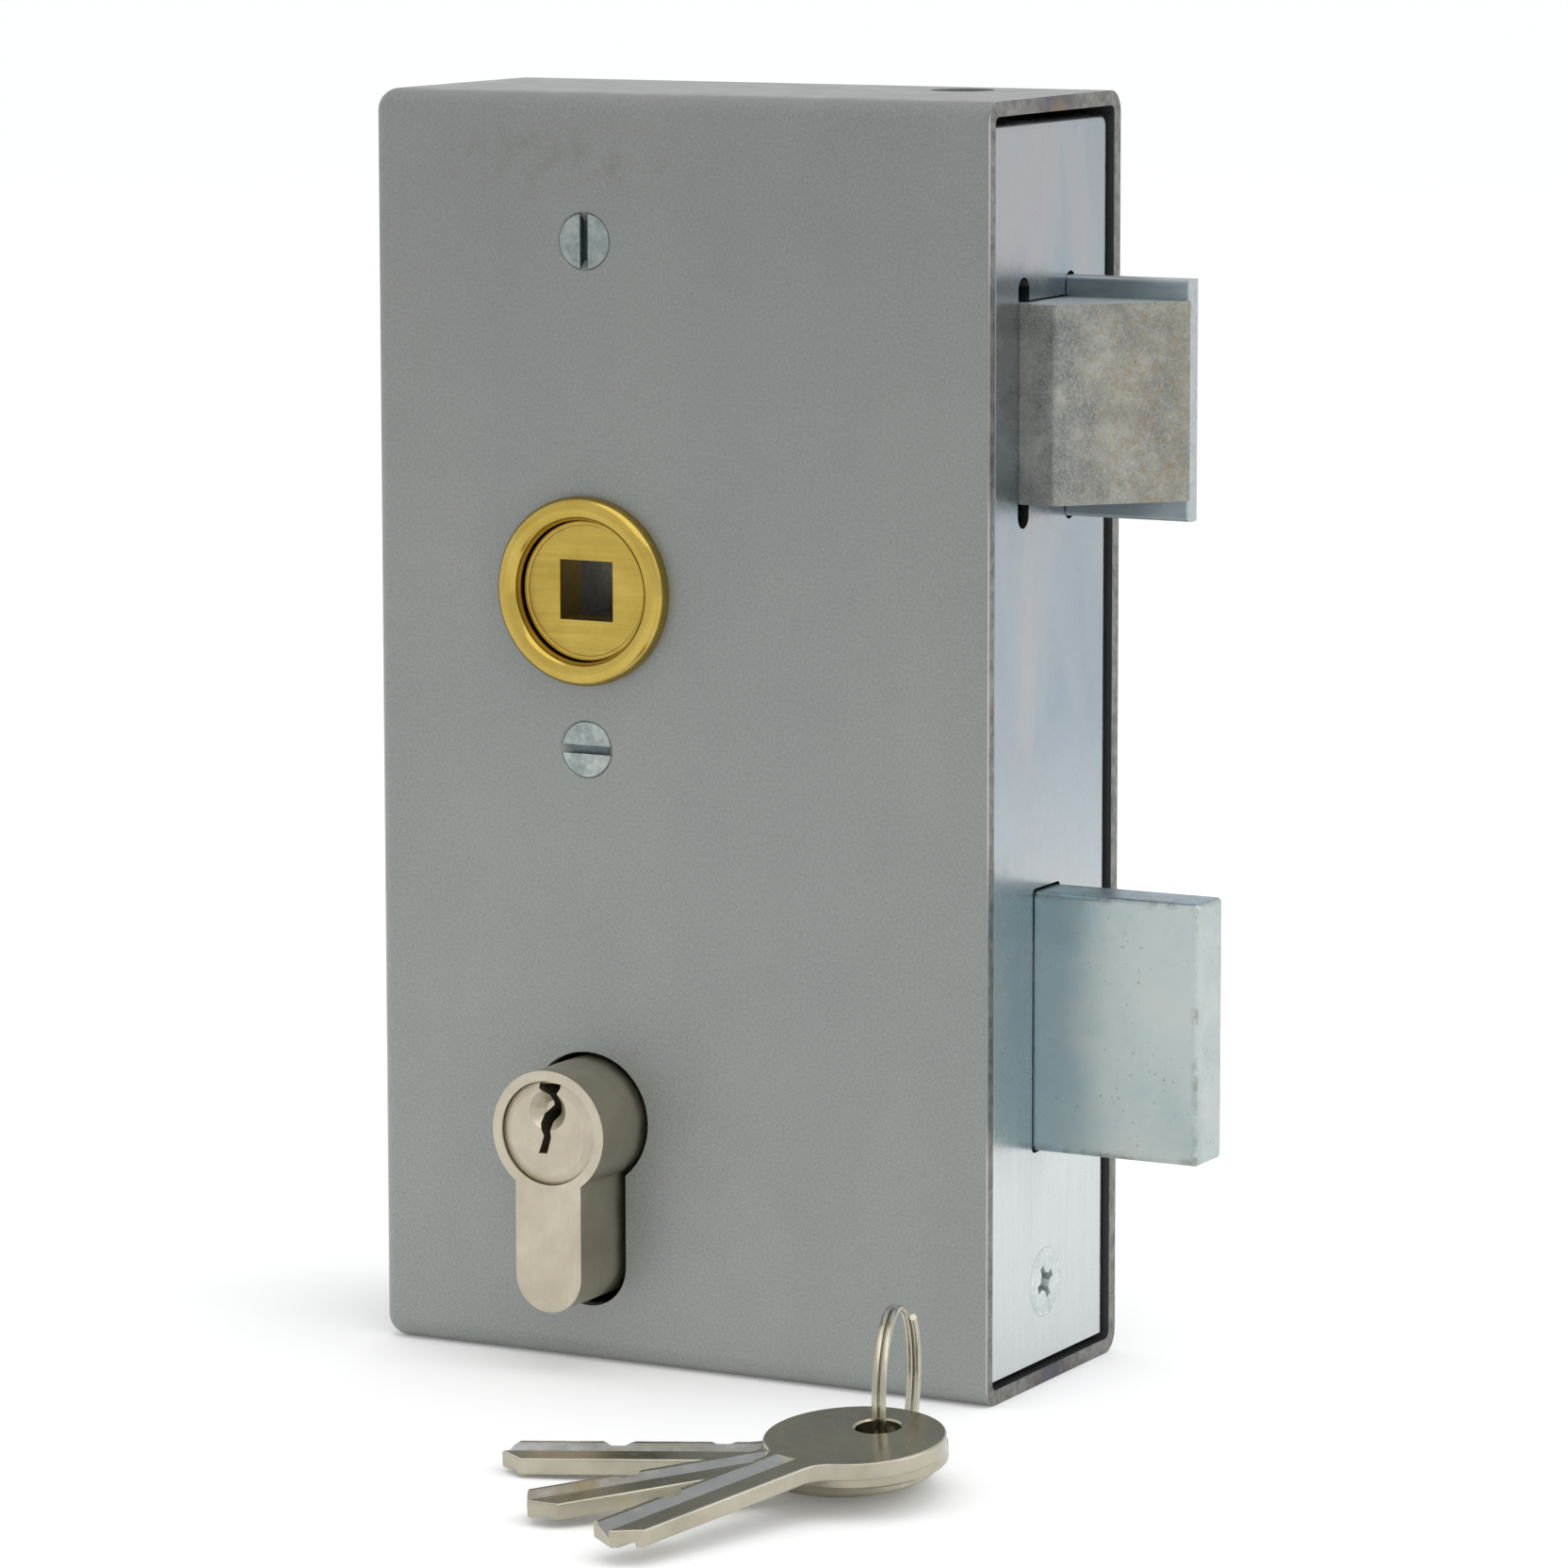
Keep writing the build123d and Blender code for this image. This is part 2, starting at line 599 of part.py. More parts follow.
with BuildPart() as latch_guide_stud:
    with BuildSketch(at_y(COVER_Y[0])):
        with Locations(LATCH_STUD):
            Circle(LATCH_STUD_D / 2)
    extrude(amount=COVER_Y[0] - BASE_Y[1])
latch_guide_stud.part.label = "latch_guide_stud"
export_step(latch_guide_stud.part, "parts/latch_guide_stud.step")

# ---- deadbolt -------------------------------------------------------------------
TENON_X = 36.0
BOLT_STUD = (-9.0, 57.5)
BOLT_STUD_D = 5.0
TALON_X = (-13.6, 13.6)
TALON_TOP = 49.8
BOLT_RIVETS = ((30.5, 49.5), (30.5, 58.5))
BOLT_RIVET_D = 4.0
EDGE_R = 0.7

with BuildPart() as deadbolt_block:
    with BuildSketch(at_x(BOLT_BACK_X)):
        with Locations((middle(BOLT_Y), middle(BOLT_Z))):
            Rectangle(span(BOLT_Y), span(BOLT_Z))
    extrude(amount=BOLT_TIP_X - BOLT_BACK_X)
    fillet(edges().filter_by(Axis.X), EDGE_R)
    fillet(faces().sort_by(Axis.X)[-1].edges(), EDGE_R)
    with BuildSketch(at_x(BOLT_BACK_X)):
        with Locations((middle(TAIL_Y), middle(TAIL_Z))):
            Rectangle(span(TAIL_Y) + 2 * FIT, span(TAIL_Z) + 2 * FIT)
    extrude(amount=TENON_X - BOLT_BACK_X, mode=Mode.SUBTRACT)
    with BuildSketch(at_y(BOLT_Y[1])):
        with Locations(*BOLT_RIVETS):
            Circle(BOLT_RIVET_D / 2 + FIT)
    extrude(amount=span(BOLT_Y), mode=Mode.SUBTRACT)
deadbolt_block.part.label = "deadbolt_block"
export_step(deadbolt_block.part, "parts/deadbolt_block.step")

with BuildPart() as deadbolt_tail:
    with BuildSketch(at_y(TAIL_Y[1])):
        with BuildLine():
            Polyline(
                (TAIL_X, TAIL_Z[0]), (TALON_X[0], TAIL_Z[0]), (TALON_X[0], TALON_TOP),
                (TALON_X[1], TALON_TOP), (TALON_X[1], TAIL_Z[0]), (TENON_X, TAIL_Z[0]),
                (TENON_X, TAIL_Z[1]), (TAIL_X, TAIL_Z[1]), close=True,
            )
        make_face()
        slot_from = BOLT_STUD[0] - BOLT_STUD_D / 2 - PIN_PLAY
        slot_to = BOLT_STUD[0] + BOLT_THROW + BOLT_STUD_D / 2 + PIN_PLAY
        with Locations(((slot_from + slot_to) / 2, BOLT_STUD[1])):
            SlotOverall(slot_to - slot_from, BOLT_STUD_D + 2 * PIN_PLAY, mode=Mode.SUBTRACT)
        with Locations(*BOLT_RIVETS):
            Circle(BOLT_RIVET_D / 2 + FIT, mode=Mode.SUBTRACT)
    extrude(amount=span(TAIL_Y))
deadbolt_tail.part.label = "deadbolt_tail"
export_step(deadbolt_tail.part, "parts/deadbolt_tail.step")

with BuildPart() as deadbolt_rivets:
    with BuildSketch(at_y(BOLT_Y[1])):
        with Locations(*BOLT_RIVETS):
            Circle(BOLT_RIVET_D / 2)
    extrude(amount=span(BOLT_Y))
deadbolt_rivets.part.label = "deadbolt_rivets"
export_step(deadbolt_rivets.part, "parts/deadbolt_rivets.step")

with BuildPart() as deadbolt_guide_stud:
    with BuildSketch(at_y(COVER_Y[0])):
        with Locations(BOLT_STUD):
            Circle(BOLT_STUD_D / 2)
    extrude(amount=COVER_Y[0] - BASE_Y[1])
deadbolt_guide_stud.part.label = "deadbolt_guide_stud"
export_step(deadbolt_guide_stud.part, "parts/deadbolt_guide_stud.step")

LEAF_T = 0.6
LEAF_Y = (-3.5, 1.5)
LEAF_POST = (-34.0, 76.0)
LEAF_POST_D = 5.0
LEAF_LOW = (-6.0, TAIL_Z[1] + 0.1)
LEAF_BEND = (-20.0, TAIL_Z[1] + 3.0)
LEAF_END = (-1.0, TAIL_Z[1] + 2.4)
LEAF_HOOK = (-3.0, TAIL_Z[1] + 0.7)

with BuildPart() as deadbolt_friction_spring:
    with BuildSketch(at_y(COVER_Y[0])):
        with Locations(LEAF_POST):
            Circle(LEAF_POST_D / 2)
    extrude(amount=COVER_Y[0] - BASE_Y[1])
    leaf_root = (LEAF_POST[0], LEAF_POST[1] - LEAF_POST_D / 2 + LEAF_T / 2)
    with BuildSketch(at_y(LEAF_Y[1])):
        with BuildLine() as leaf:
            ThreePointArc(leaf_root, LEAF_BEND, LEAF_LOW)
            ThreePointArc(LEAF_LOW, LEAF_HOOK, LEAF_END)
            offset(amount=LEAF_T, side=Side.LEFT)
        make_face()
    extrude(amount=span(LEAF_Y))
deadbolt_friction_spring.part.label = "deadbolt_friction_spring"
export_step(deadbolt_friction_spring.part, "parts/deadbolt_friction_spring.step")

# ---- Euro cylinder ---------------------------------------------------------------
GAP_Y = (CYL_MID_Y - CAM_GAP / 2, CYL_MID_Y + CAM_GAP / 2)
GAP_BOTTOM = CYL_Z - 15.3
LEG_BOTTOM = CYL_Z + CYL_HEAD_D / 2 - CYL_HIGH
CHAMBER_TOP = CYL_Z - PLUG_D / 2 + 0.6
CAP_T = 1.4
DRIVER_TOP = CYL_Z - PLUG_D / 2 - 0.1
DRIVER_LONG = 6.0


def mirrored(y):
    """The matching place on the inner half of the cylinder."""
    return 2 * CYL_MID_Y - y


OUTER_PINS_Y = [CYL_Y[0] + FIRST_PIN + PIN_PITCH * i for i in range(PIN_COUNT)]
INNER_PINS_Y = [mirrored(y) for y in OUTER_PINS_Y]
ALL_PINS_Y = OUTER_PINS_Y + INNER_PINS_Y

with BuildPart() as cylinder_body:
    with BuildSketch(at_y(CYL_Y[1])):
        with Locations((AXIS_X, CYL_Z)):
            euro_outline(0)
    extrude(amount=span(CYL_Y))
    with BuildSketch(at_y(CYL_Y[1])):
        with Locations((AXIS_X, CYL_Z)):
            Circle(PLUG_D / 2 + FIT)
    extrude(amount=span(CYL_Y), mode=Mode.SUBTRACT)
    for y in (CYL_Y[0] + PLUG_HEAD_T + FIT, CYL_Y[1]):
        with BuildSketch(at_y(y)):
            with Locations((AXIS_X, CYL_Z)):
                Circle(PLUG_HEAD_D / 2 + 0.1)
        extrude(amount=PLUG_HEAD_T + FIT, mode=Mode.SUBTRACT)
    with BuildSketch(at_y(GAP_Y[1])):
        with Locations((AXIS_X, (GAP_BOTTOM + CYL_Z + CYL_HEAD_D) / 2)):
            Rectangle(CYL_HEAD_D + 2, CYL_Z + CYL_HEAD_D - GAP_BOTTOM)
    extrude(amount=CAM_GAP, mode=Mode.SUBTRACT)
    with BuildSketch(Plane.XY.offset(LEG_BOTTOM)):
        with Locations(*[(AXIS_X, y) for y in ALL_PINS_Y]):
            Circle(CHAMBER_D / 2)
    extrude(amount=CHAMBER_TOP - LEG_BOTTOM, mode=Mode.SUBTRACT)
    with BuildSketch(at_x(AXIS_X - CYL_LEG_W)):
        with Locations((CYL_MID_Y, FIX_SCREW_Z)):
            Circle(FIX_SCREW_D / 2 + FIT)
    extrude(amount=2 * CYL_LEG_W, mode=Mode.SUBTRACT)
cylinder_body.part.label = "cylinder_body"
export_step(cylinder_body.part, "parts/cylinder_body.step")

KEYWAY = (
    (1.8, 8.0), (1.8, 6.2), (1.4, 5.4), (1.7, 4.2), (1.3, 2.6), (0.3, 1.4), (0.5, -0.6),
    (-0.1, -2.8), (-1.4, -2.8), (-0.9, -1.4), (-0.6, -0.4), (-1.3, 1.2), (-1.2, 2.4),
    (0.1, 3.6), (-0.1, 5.2), (-1.4, 6.0), (-1.4, 8.0),
)
PLUG_END = 0.9
PLUG_BEVEL = (1.25, 0.5)
CLIP_T = 0.5
CLIP_GROOVE_D = 11.4
KEY_MOUTH_D = 5.5
KEY_MOUTH_Z = 3.1
KEY_MOUTH_DEEP = 1.7
CLUTCH_SLOT_W = 2.2
CLUTCH_SLOT_DEEP = 2.5


def plug(y_face, inward, pins_y):
    """One plug: headed at its face, keyway all along, pin holes, clip groove, clutch slot."""
    face = Plane(origin=(AXIS_X, y_face, CYL_Z), x_dir=(inward, 0, 0), z_dir=(0, -inward, 0))
    length = span(CYL_Y) / 2 - CAM_GAP / 2 + PLUG_END
    with BuildSketch(face) as barrel:
        Circle(PLUG_D / 2)
    extrude(barrel.sketch, amount=-length)
    with BuildSketch(face) as head:
        Circle(PLUG_HEAD_D / 2)
    extrude(head.sketch, amount=-PLUG_HEAD_T)
    front = faces().sort_by(Axis.Y)[0 if inward > 0 else -1]
    chamfer(front.edges(), PLUG_BEVEL[0], PLUG_BEVEL[1], reference=front)
    with BuildSketch(face) as keyway:
        with BuildLine():
            Polyline(*KEYWAY, close=True)
        make_face()
    extrude(keyway.sketch, amount=-length + CLUTCH_SLOT_DEEP + 1.0, mode=Mode.SUBTRACT)
    with BuildSketch(face) as mouth:
        with Locations((0, KEY_MOUTH_Z)):
            Circle(KEY_MOUTH_D / 2)
    extrude(mouth.sketch, amount=-KEY_MOUTH_DEEP, taper=45, mode=Mode.SUBTRACT)
    clip_at = length - PLUG_END + FIT
    with BuildSketch(face.offset(-clip_at)) as clip_groove:
        Circle(PLUG_D)
        Circle(CLIP_GROOVE_D / 2, mode=Mode.SUBTRACT)
    extrude(clip_groove.sketch, amount=-CLIP_T - FIT, mode=Mode.SUBTRACT)
    with BuildSketch(face.offset(-length)) as clutch_slot:
        Rectangle(CLUTCH_SLOT_W, PLUG_D + 1)
    extrude(clutch_slot.sketch, amount=CLUTCH_SLOT_DEEP, mode=Mode.SUBTRACT)
    with BuildSketch(Plane.XY.offset(CYL_Z - PLUG_D / 2 - 1)) as pin_holes:
        with Locations(*[(AXIS_X, y) for y in pins_y]):
            Circle(CHAMBER_D / 2)
    extrude(pin_holes.sketch, amount=PLUG_D / 2 + 1, mode=Mode.SUBTRACT)


KEY_PIN_TOPS = (-1.2, -2.0, -0.6, -1.6, -1.0)
KEY_PIN_FOOT = -PLUG_D / 2 + 0.15
KEY_PIN_POINT = 0.8


def key_pins(pins_y):
    """Pointed bottom pins of five lengths, one in each hole of a plug."""
    for y, top in zip(pins_y, KEY_PIN_TOPS):
        with BuildSketch(Plane.XY.offset(CYL_Z + KEY_PIN_FOOT)) as shank:
            with Locations((AXIS_X, y)):
                Circle(PIN_D / 2)
        extrude(shank.sketch, amount=top - KEY_PIN_FOOT - KEY_PIN_POINT)
        with BuildSketch(Plane.XY.offset(CYL_Z + top - KEY_PIN_POINT)) as point:
            with Locations((AXIS_X, y)):
                Circle(PIN_D / 2)
        extrude(point.sketch, amount=KEY_PIN_POINT, taper=45)


def circlip(y_low):
    """A C-shaped clip that holds a plug in the body."""
    with BuildSketch(at_y(y_low + CLIP_T - FIT)) as clip:
        with Locations((AXIS_X, CYL_Z)):
            Circle(PLUG_HEAD_D / 2 + 0.5)
            Circle(CLIP_GROOVE_D / 2 + FIT, mode=Mode.SUBTRACT)
        with Locations((AXIS_X, CYL_Z - PLUG_D / 2)):
            Rectangle(4.0, PLUG_D / 2, mode=Mode.SUBTRACT)
    extrude(clip.sketch, amount=CLIP_T - FIT)


with BuildPart() as outer_plug:
    plug(CYL_Y[0], 1, OUTER_PINS_Y)
outer_plug.part.label = "outer_plug"
export_step(outer_plug.part, "parts/outer_plug.step")

with BuildPart() as outer_key_pins:
    key_pins(OUTER_PINS_Y)
outer_key_pins.part.label = "outer_key_pins"
export_step(outer_key_pins.part, "parts/outer_key_pins.step")

with BuildPart() as outer_circlip:
    circlip(GAP_Y[0] + 2 * FIT)
outer_circlip.part.label = "outer_circlip"
export_step(outer_circlip.part, "parts/outer_circlip.step")

with BuildPart() as inner_plug:
    plug(CYL_Y[1], -1, INNER_PINS_Y)
inner_plug.part.label = "inner_plug"
export_step(inner_plug.part, "parts/inner_plug.step")

with BuildPart() as inner_key_pins:
    key_pins(INNER_PINS_Y)
inner_key_pins.part.label = "inner_key_pins"
export_step(inner_key_pins.part, "parts/inner_key_pins.step")

with BuildPart() as inner_circlip:
    circlip(GAP_Y[1] - CLIP_T - FIT)
inner_circlip.part.label = "inner_circlip"
export_step(inner_circlip.part, "parts/inner_circlip.step")

with BuildPart() as driver_pins:
    with BuildSketch(Plane.XY.offset(DRIVER_TOP - DRIVER_LONG)):
        with Locations(*[(AXIS_X, y) for y in ALL_PINS_Y]):
            Circle(PIN_D / 2)
    extrude(amount=DRIVER_LONG)
driver_pins.part.label = "driver_pins"
export_step(driver_pins.part, "parts/driver_pins.step")

PIN_SPRING_WIRE = 0.4
PIN_SPRING_TURNS = 4
PIN_SPRING_D = 2.1
CAP_TOP = LEG_BOTTOM + 0.3 + CAP_T
pin_spring_span = DRIVER_TOP - DRIVER_LONG - CAP_TOP - PIN_SPRING_WIRE - 0.1

with BuildPart() as pin_springs:
    for y in ALL_PINS_Y:
        foot = Plane(origin=(AXIS_X, y, CAP_TOP + PIN_SPRING_WIRE / 2 + FIT))
        wire_coil(
            foot, pin_spring_span / PIN_SPRING_TURNS, PIN_SPRING_TURNS, PIN_SPRING_D / 2,
            PIN_SPRING_WIRE,
        )
pin_springs.part.label = "pin_springs"
export_step(pin_springs.part, "parts/pin_springs.step")

with BuildPart() as pin_chamber_caps:
    with BuildSketch(Plane.XY.offset(CAP_TOP - CAP_T)):
        with Locations(*[(AXIS_X, y) for y in ALL_PINS_Y]):
            Circle(CHAMBER_D / 2 - 0.02)
    extrude(amount=CAP_T)
pin_chamber_caps.part.label = "pin_chamber_caps"
export_step(pin_chamber_caps.part, "parts/pin_chamber_caps.step")

CAM_Y = (CYL_MID_Y - CAM_T / 2, CYL_MID_Y + CAM_T / 2)
CAM_HUB_R = 7.6
CAM_BORE_R = 4.0
CAM_NOSE_HALF = 3.8
CLUTCH_R = 3.9
CLUTCH_TONGUE = (1.8, 7.0)

cam_nose_dir = on_circle(1, CAM_REST_DEG)
cam_plane = Plane(
    origin=(AXIS_X, CAM_Y[1], CYL_Z),
    x_dir=(cam_nose_dir[0], 0, cam_nose_dir[1]),
    z_dir=(0, -1, 0),
)
with BuildPart() as cylinder_cam:
    with BuildSketch(cam_plane):
        with Locations((CAM_R / 2, 0)):
            Rectangle(CAM_R, 2 * CAM_NOSE_HALF)
        Circle(CAM_R, mode=Mode.INTERSECT)
        Circle(CAM_HUB_R)
        Circle(CAM_BORE_R, mode=Mode.SUBTRACT)
    extrude(amount=CAM_T)
cylinder_cam.part.label = "cylinder_cam"
export_step(cylinder_cam.part, "parts/cylinder_cam.step")

with BuildPart() as cam_clutch:
    with BuildSketch(at_y(CAM_Y[1] - 0.6)):
        with Locations((AXIS_X, CYL_Z)):
            Circle(CLUTCH_R)
    extrude(amount=CAM_T - 0.6)
    with BuildSketch(at_y(CAM_Y[0])):
        with Locations((AXIS_X, CYL_Z)):
            Rectangle(*CLUTCH_TONGUE)
    extrude(amount=PLUG_END + 1.0)
cam_clutch.part.label = "cam_clutch"
export_step(cam_clutch.part, "parts/cam_clutch.step")

FIX_SCREW_END_X = -19.0
FIX_HEAD_T = (FIX_SCREW_HEAD_D - FIX_SCREW_D) / 2
CROSS_W = 1.1
CROSS_L = 4.6

with BuildPart() as cylinder_screw:
    with BuildSketch(at_x(FOREND_X + PLATE_T)):
        with Locations((CYL_MID_Y, FIX_SCREW_Z)):
            Circle(FIX_SCREW_HEAD_D / 2)
    extrude(amount=-FIX_HEAD_T, taper=45)
    with BuildSketch(at_x(FIX_SCREW_END_X)):
        with Locations((CYL_MID_Y, FIX_SCREW_Z)):
            Circle(FIX_SCREW_D / 2)
    extrude(amount=FOREND_X + PLATE_T - 1.5 - FIX_SCREW_END_X)
    with BuildSketch(at_x(FOREND_X + PLATE_T)):
        with Locations((CYL_MID_Y, FIX_SCREW_Z)):
            Rectangle(CROSS_W, CROSS_L, rotation=25)
            Rectangle(CROSS_L, CROSS_W, rotation=25)
            Circle(1.3)
    extrude(amount=-2.2, taper=12, mode=Mode.SUBTRACT)
cylinder_screw.part.label = "cylinder_screw"
export_step(cylinder_screw.part, "parts/cylinder_screw.step")

# ---- keys on their split ring ------------------------------------------------------
KEY_ORDER = ("key_bottom", "key_middle", "key_top")
KEY_HOLES = {"key_bottom": (52.2, -61.5), "key_middle": (54.1, -63.1), "key_top": (54.1, -66.0)}
KEY_DIRECTIONS = {"key_bottom": -160.5, "key_middle": -130.5, "key_top": -105.5}
LOWEST_HOLE_Z = 3.15
BLADE_START = 15.5
NECK_R = 4.0
TIP_AT = (KEY_TIP, 0.6)
TIP_SLOPES = (1.6, 2.8)
KEY_EDGE_R = 0.3
HOLE_CHAMFER = 0.25
CHANNEL_ACROSS = (-2.8, 0.4)
CHANNEL_DEEP = 0.9
CUTTER_R = 8.0
CUTTER_ARC = 35.0
UNDER_GROOVE = (2.1, 1.6, 0.6)
KEY_CUTS = ((20.5, 1.0), (25.0, 0.3), (29.5, 0.3), (34.0, 1.5), (40.0, 0.3))
CUT_FLAT = 0.9

stack_normal = Vector(0, -sin(radians(KEY_TILT)), cos(radians(KEY_TILT)))


def key_plane(name):
    """The mid-plane of a key in the stack: origin at its ring hole, x along the blade."""
    x, y = KEY_HOLES[name]
    rise = KEY_ORDER.index(name) * KEY_STEP / cos(radians(KEY_TILT))
    z = LOWEST_HOLE_Z + rise + tan(radians(KEY_TILT)) * (y - KEY_HOLES[KEY_ORDER[0]][1])
    along = Vector(*on_circle(1, KEY_DIRECTIONS[name]), 0)
    along = (along - stack_normal * along.dot(stack_normal)).normalized()
    return Plane(origin=(x, y, z), x_dir=along, z_dir=stack_normal)


def key_blank(flat):
    """The outline of a key with its ring hole and softened edges."""
    half = BLADE_W / 2
    with BuildSketch(flat.offset(-KEY_T / 2)) as outline:
        with Locations((BOW_OFFSET, 0)):
            Circle(BOW_D / 2)
        with BuildLine():
            Polyline(
                (BOW_OFFSET, -half), (KEY_TIP - TIP_SLOPES[0], -half), TIP_AT,
                (KEY_TIP - TIP_SLOPES[1], half), (BOW_OFFSET, half), close=True,
            )
        make_face()
        neck = [v for v in vertices() if BOW_OFFSET < flat.to_local_coords(v).X < BLADE_START + NECK_R]
        fillet(neck, NECK_R)
    extrude(outline.sketch, amount=KEY_T)
    by_height = faces().sort_by(Axis(flat.origin, flat.z_dir))
    fillet(by_height[0].edges() + by_height[-1].edges(), KEY_EDGE_R)
    with BuildSketch(flat.offset(-KEY_T / 2)) as ring_hole:
        Circle(BOW_HOLE_D / 2)
    extrude(ring_hole.sketch, amount=KEY_T, mode=Mode.SUBTRACT)
    rims = [e for e in edges().filter_by(GeomType.CIRCLE) if abs(e.radius - BOW_HOLE_D / 2) < FIT]
    chamfer(rims, HOLE_CHAMFER)


def cut_key(name):
    """A round-bowed cylinder key: a milled channel, a groove below, five cuts in one edge."""
    flat = key_plane(name)
    key_blank(flat)
    section = Plane(
        origin=flat.from_local_coords((BLADE_START, 0, KEY_T / 2)), x_dir=flat.y_dir, z_dir=flat.x_dir
    )
    with BuildSketch(section) as channel:
        with BuildLine():
            Polyline(
                (CHANNEL_ACROSS[0], FIT), (CHANNEL_ACROSS[0], 0), (CHANNEL_ACROSS[1], -CHANNEL_DEEP),
                (CHANNEL_ACROSS[1], FIT), close=True,
            )
        make_face()
    extrude(channel.sketch, amount=KEY_TIP - BLADE_START + 1, mode=Mode.SUBTRACT)
    cutter_axis = Axis(section.from_local_coords((0, CUTTER_R - CHANNEL_DEEP, 0)), section.x_dir)
    revolve(channel.sketch, axis=cutter_axis, revolution_arc=-CUTTER_ARC, mode=Mode.SUBTRACT)
    across, wide, deep = UNDER_GROOVE
    groove_long = KEY_TIP - BLADE_START + 2
    with BuildSketch(flat.offset(-KEY_T / 2)) as groove:
        with Locations((BLADE_START + groove_long / 2, across)):
            SlotOverall(groove_long, wide)
    extrude(groove.sketch, amount=deep, mode=Mode.SUBTRACT)
    edge = -BLADE_W / 2
    with BuildSketch(flat.offset(-KEY_T)) as cuts:
        for x, down in KEY_CUTS:
            with BuildLine():
                Polyline(
                    (x - CUT_FLAT - down, edge - FIT), (x - CUT_FLAT, edge + down),
                    (x + CUT_FLAT, edge + down), (x + CUT_FLAT + down, edge - FIT), close=True,
                )
            make_face()
    extrude(cuts.sketch, amount=2 * KEY_T, mode=Mode.SUBTRACT)


with BuildPart() as key_bottom:
    cut_key("key_bottom")
key_bottom.part.label = "key_bottom"
export_step(key_bottom.part, "parts/key_bottom.step")

with BuildPart() as key_middle:
    cut_key("key_middle")
key_middle.part.label = "key_middle"
export_step(key_middle.part, "parts/key_middle.step")

with BuildPart() as key_top:
    cut_key("key_top")
key_top.part.label = "key_top"
export_step(key_top.part, "parts/key_top.step")

RING_TURNS = 1.96
RING_PITCH = RING_WIRE + 0.04
ring_axis = Vector(*on_circle(1, RING_FACES_DEG), 0)
ring_up = Vector(0, 0, 1)
ring_back = ring_up.cross(ring_axis)
ring_start = Plane(
    origin=Vector(*RING_PLACE) - ring_axis * (RING_PITCH * RING_TURNS / 2),
    x_dir=ring_up * cos(radians(RING_END_DEG)) + ring_back * sin(radians(RING_END_DEG)),
    z_dir=ring_axis,
)
with BuildPart() as key_ring:
    wire_coil(ring_start, RING_PITCH, RING_TURNS, RING_R, RING_WIRE)
key_ring.part.label = "key_ring"
export_step(key_ring.part, "parts/key_ring.step")
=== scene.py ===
"""Looks of the gate lock: procedural metals, a coil in place of the latch spring, studio and
camera.
"""
import math

import bpy
import bmesh
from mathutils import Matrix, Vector


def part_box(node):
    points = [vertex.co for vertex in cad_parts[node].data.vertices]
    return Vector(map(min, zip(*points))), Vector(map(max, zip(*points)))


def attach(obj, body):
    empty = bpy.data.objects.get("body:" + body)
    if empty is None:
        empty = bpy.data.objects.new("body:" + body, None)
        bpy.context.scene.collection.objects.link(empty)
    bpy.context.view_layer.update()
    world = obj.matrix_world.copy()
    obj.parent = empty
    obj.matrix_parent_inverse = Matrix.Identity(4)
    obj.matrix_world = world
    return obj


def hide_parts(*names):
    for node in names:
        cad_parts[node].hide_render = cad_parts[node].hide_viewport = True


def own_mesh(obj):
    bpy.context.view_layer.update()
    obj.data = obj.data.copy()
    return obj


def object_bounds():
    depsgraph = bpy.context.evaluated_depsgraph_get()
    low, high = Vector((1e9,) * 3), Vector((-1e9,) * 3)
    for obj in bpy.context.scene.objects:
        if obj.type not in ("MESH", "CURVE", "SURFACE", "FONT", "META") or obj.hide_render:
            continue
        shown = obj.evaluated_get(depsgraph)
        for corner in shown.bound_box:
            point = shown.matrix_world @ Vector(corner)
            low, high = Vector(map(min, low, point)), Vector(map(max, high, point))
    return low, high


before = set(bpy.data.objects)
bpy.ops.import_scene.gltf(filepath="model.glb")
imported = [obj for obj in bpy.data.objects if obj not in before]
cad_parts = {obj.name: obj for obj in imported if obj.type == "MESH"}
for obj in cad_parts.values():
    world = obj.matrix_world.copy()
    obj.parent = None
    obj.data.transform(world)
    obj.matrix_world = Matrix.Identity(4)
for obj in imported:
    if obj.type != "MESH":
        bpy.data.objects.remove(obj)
cad_box = [list(corner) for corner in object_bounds()]

MM = 0.001

# places on the lock that the materials refer to
CASE_END_X = 46.5 * MM
CASE_HALF_DEPTH = 20 * MM
CASE_HALF_HEIGHT = 86 * MM
CASE_MIDDLE_Z = CASE_HALF_HEIGHT
CASE_WALL = 2 * MM
SPINDLE_X = -13.5 * MM
SPINDLE_Z = 105.5 * MM
BETWEEN_CASE_SCREWS_Z = 120 * MM


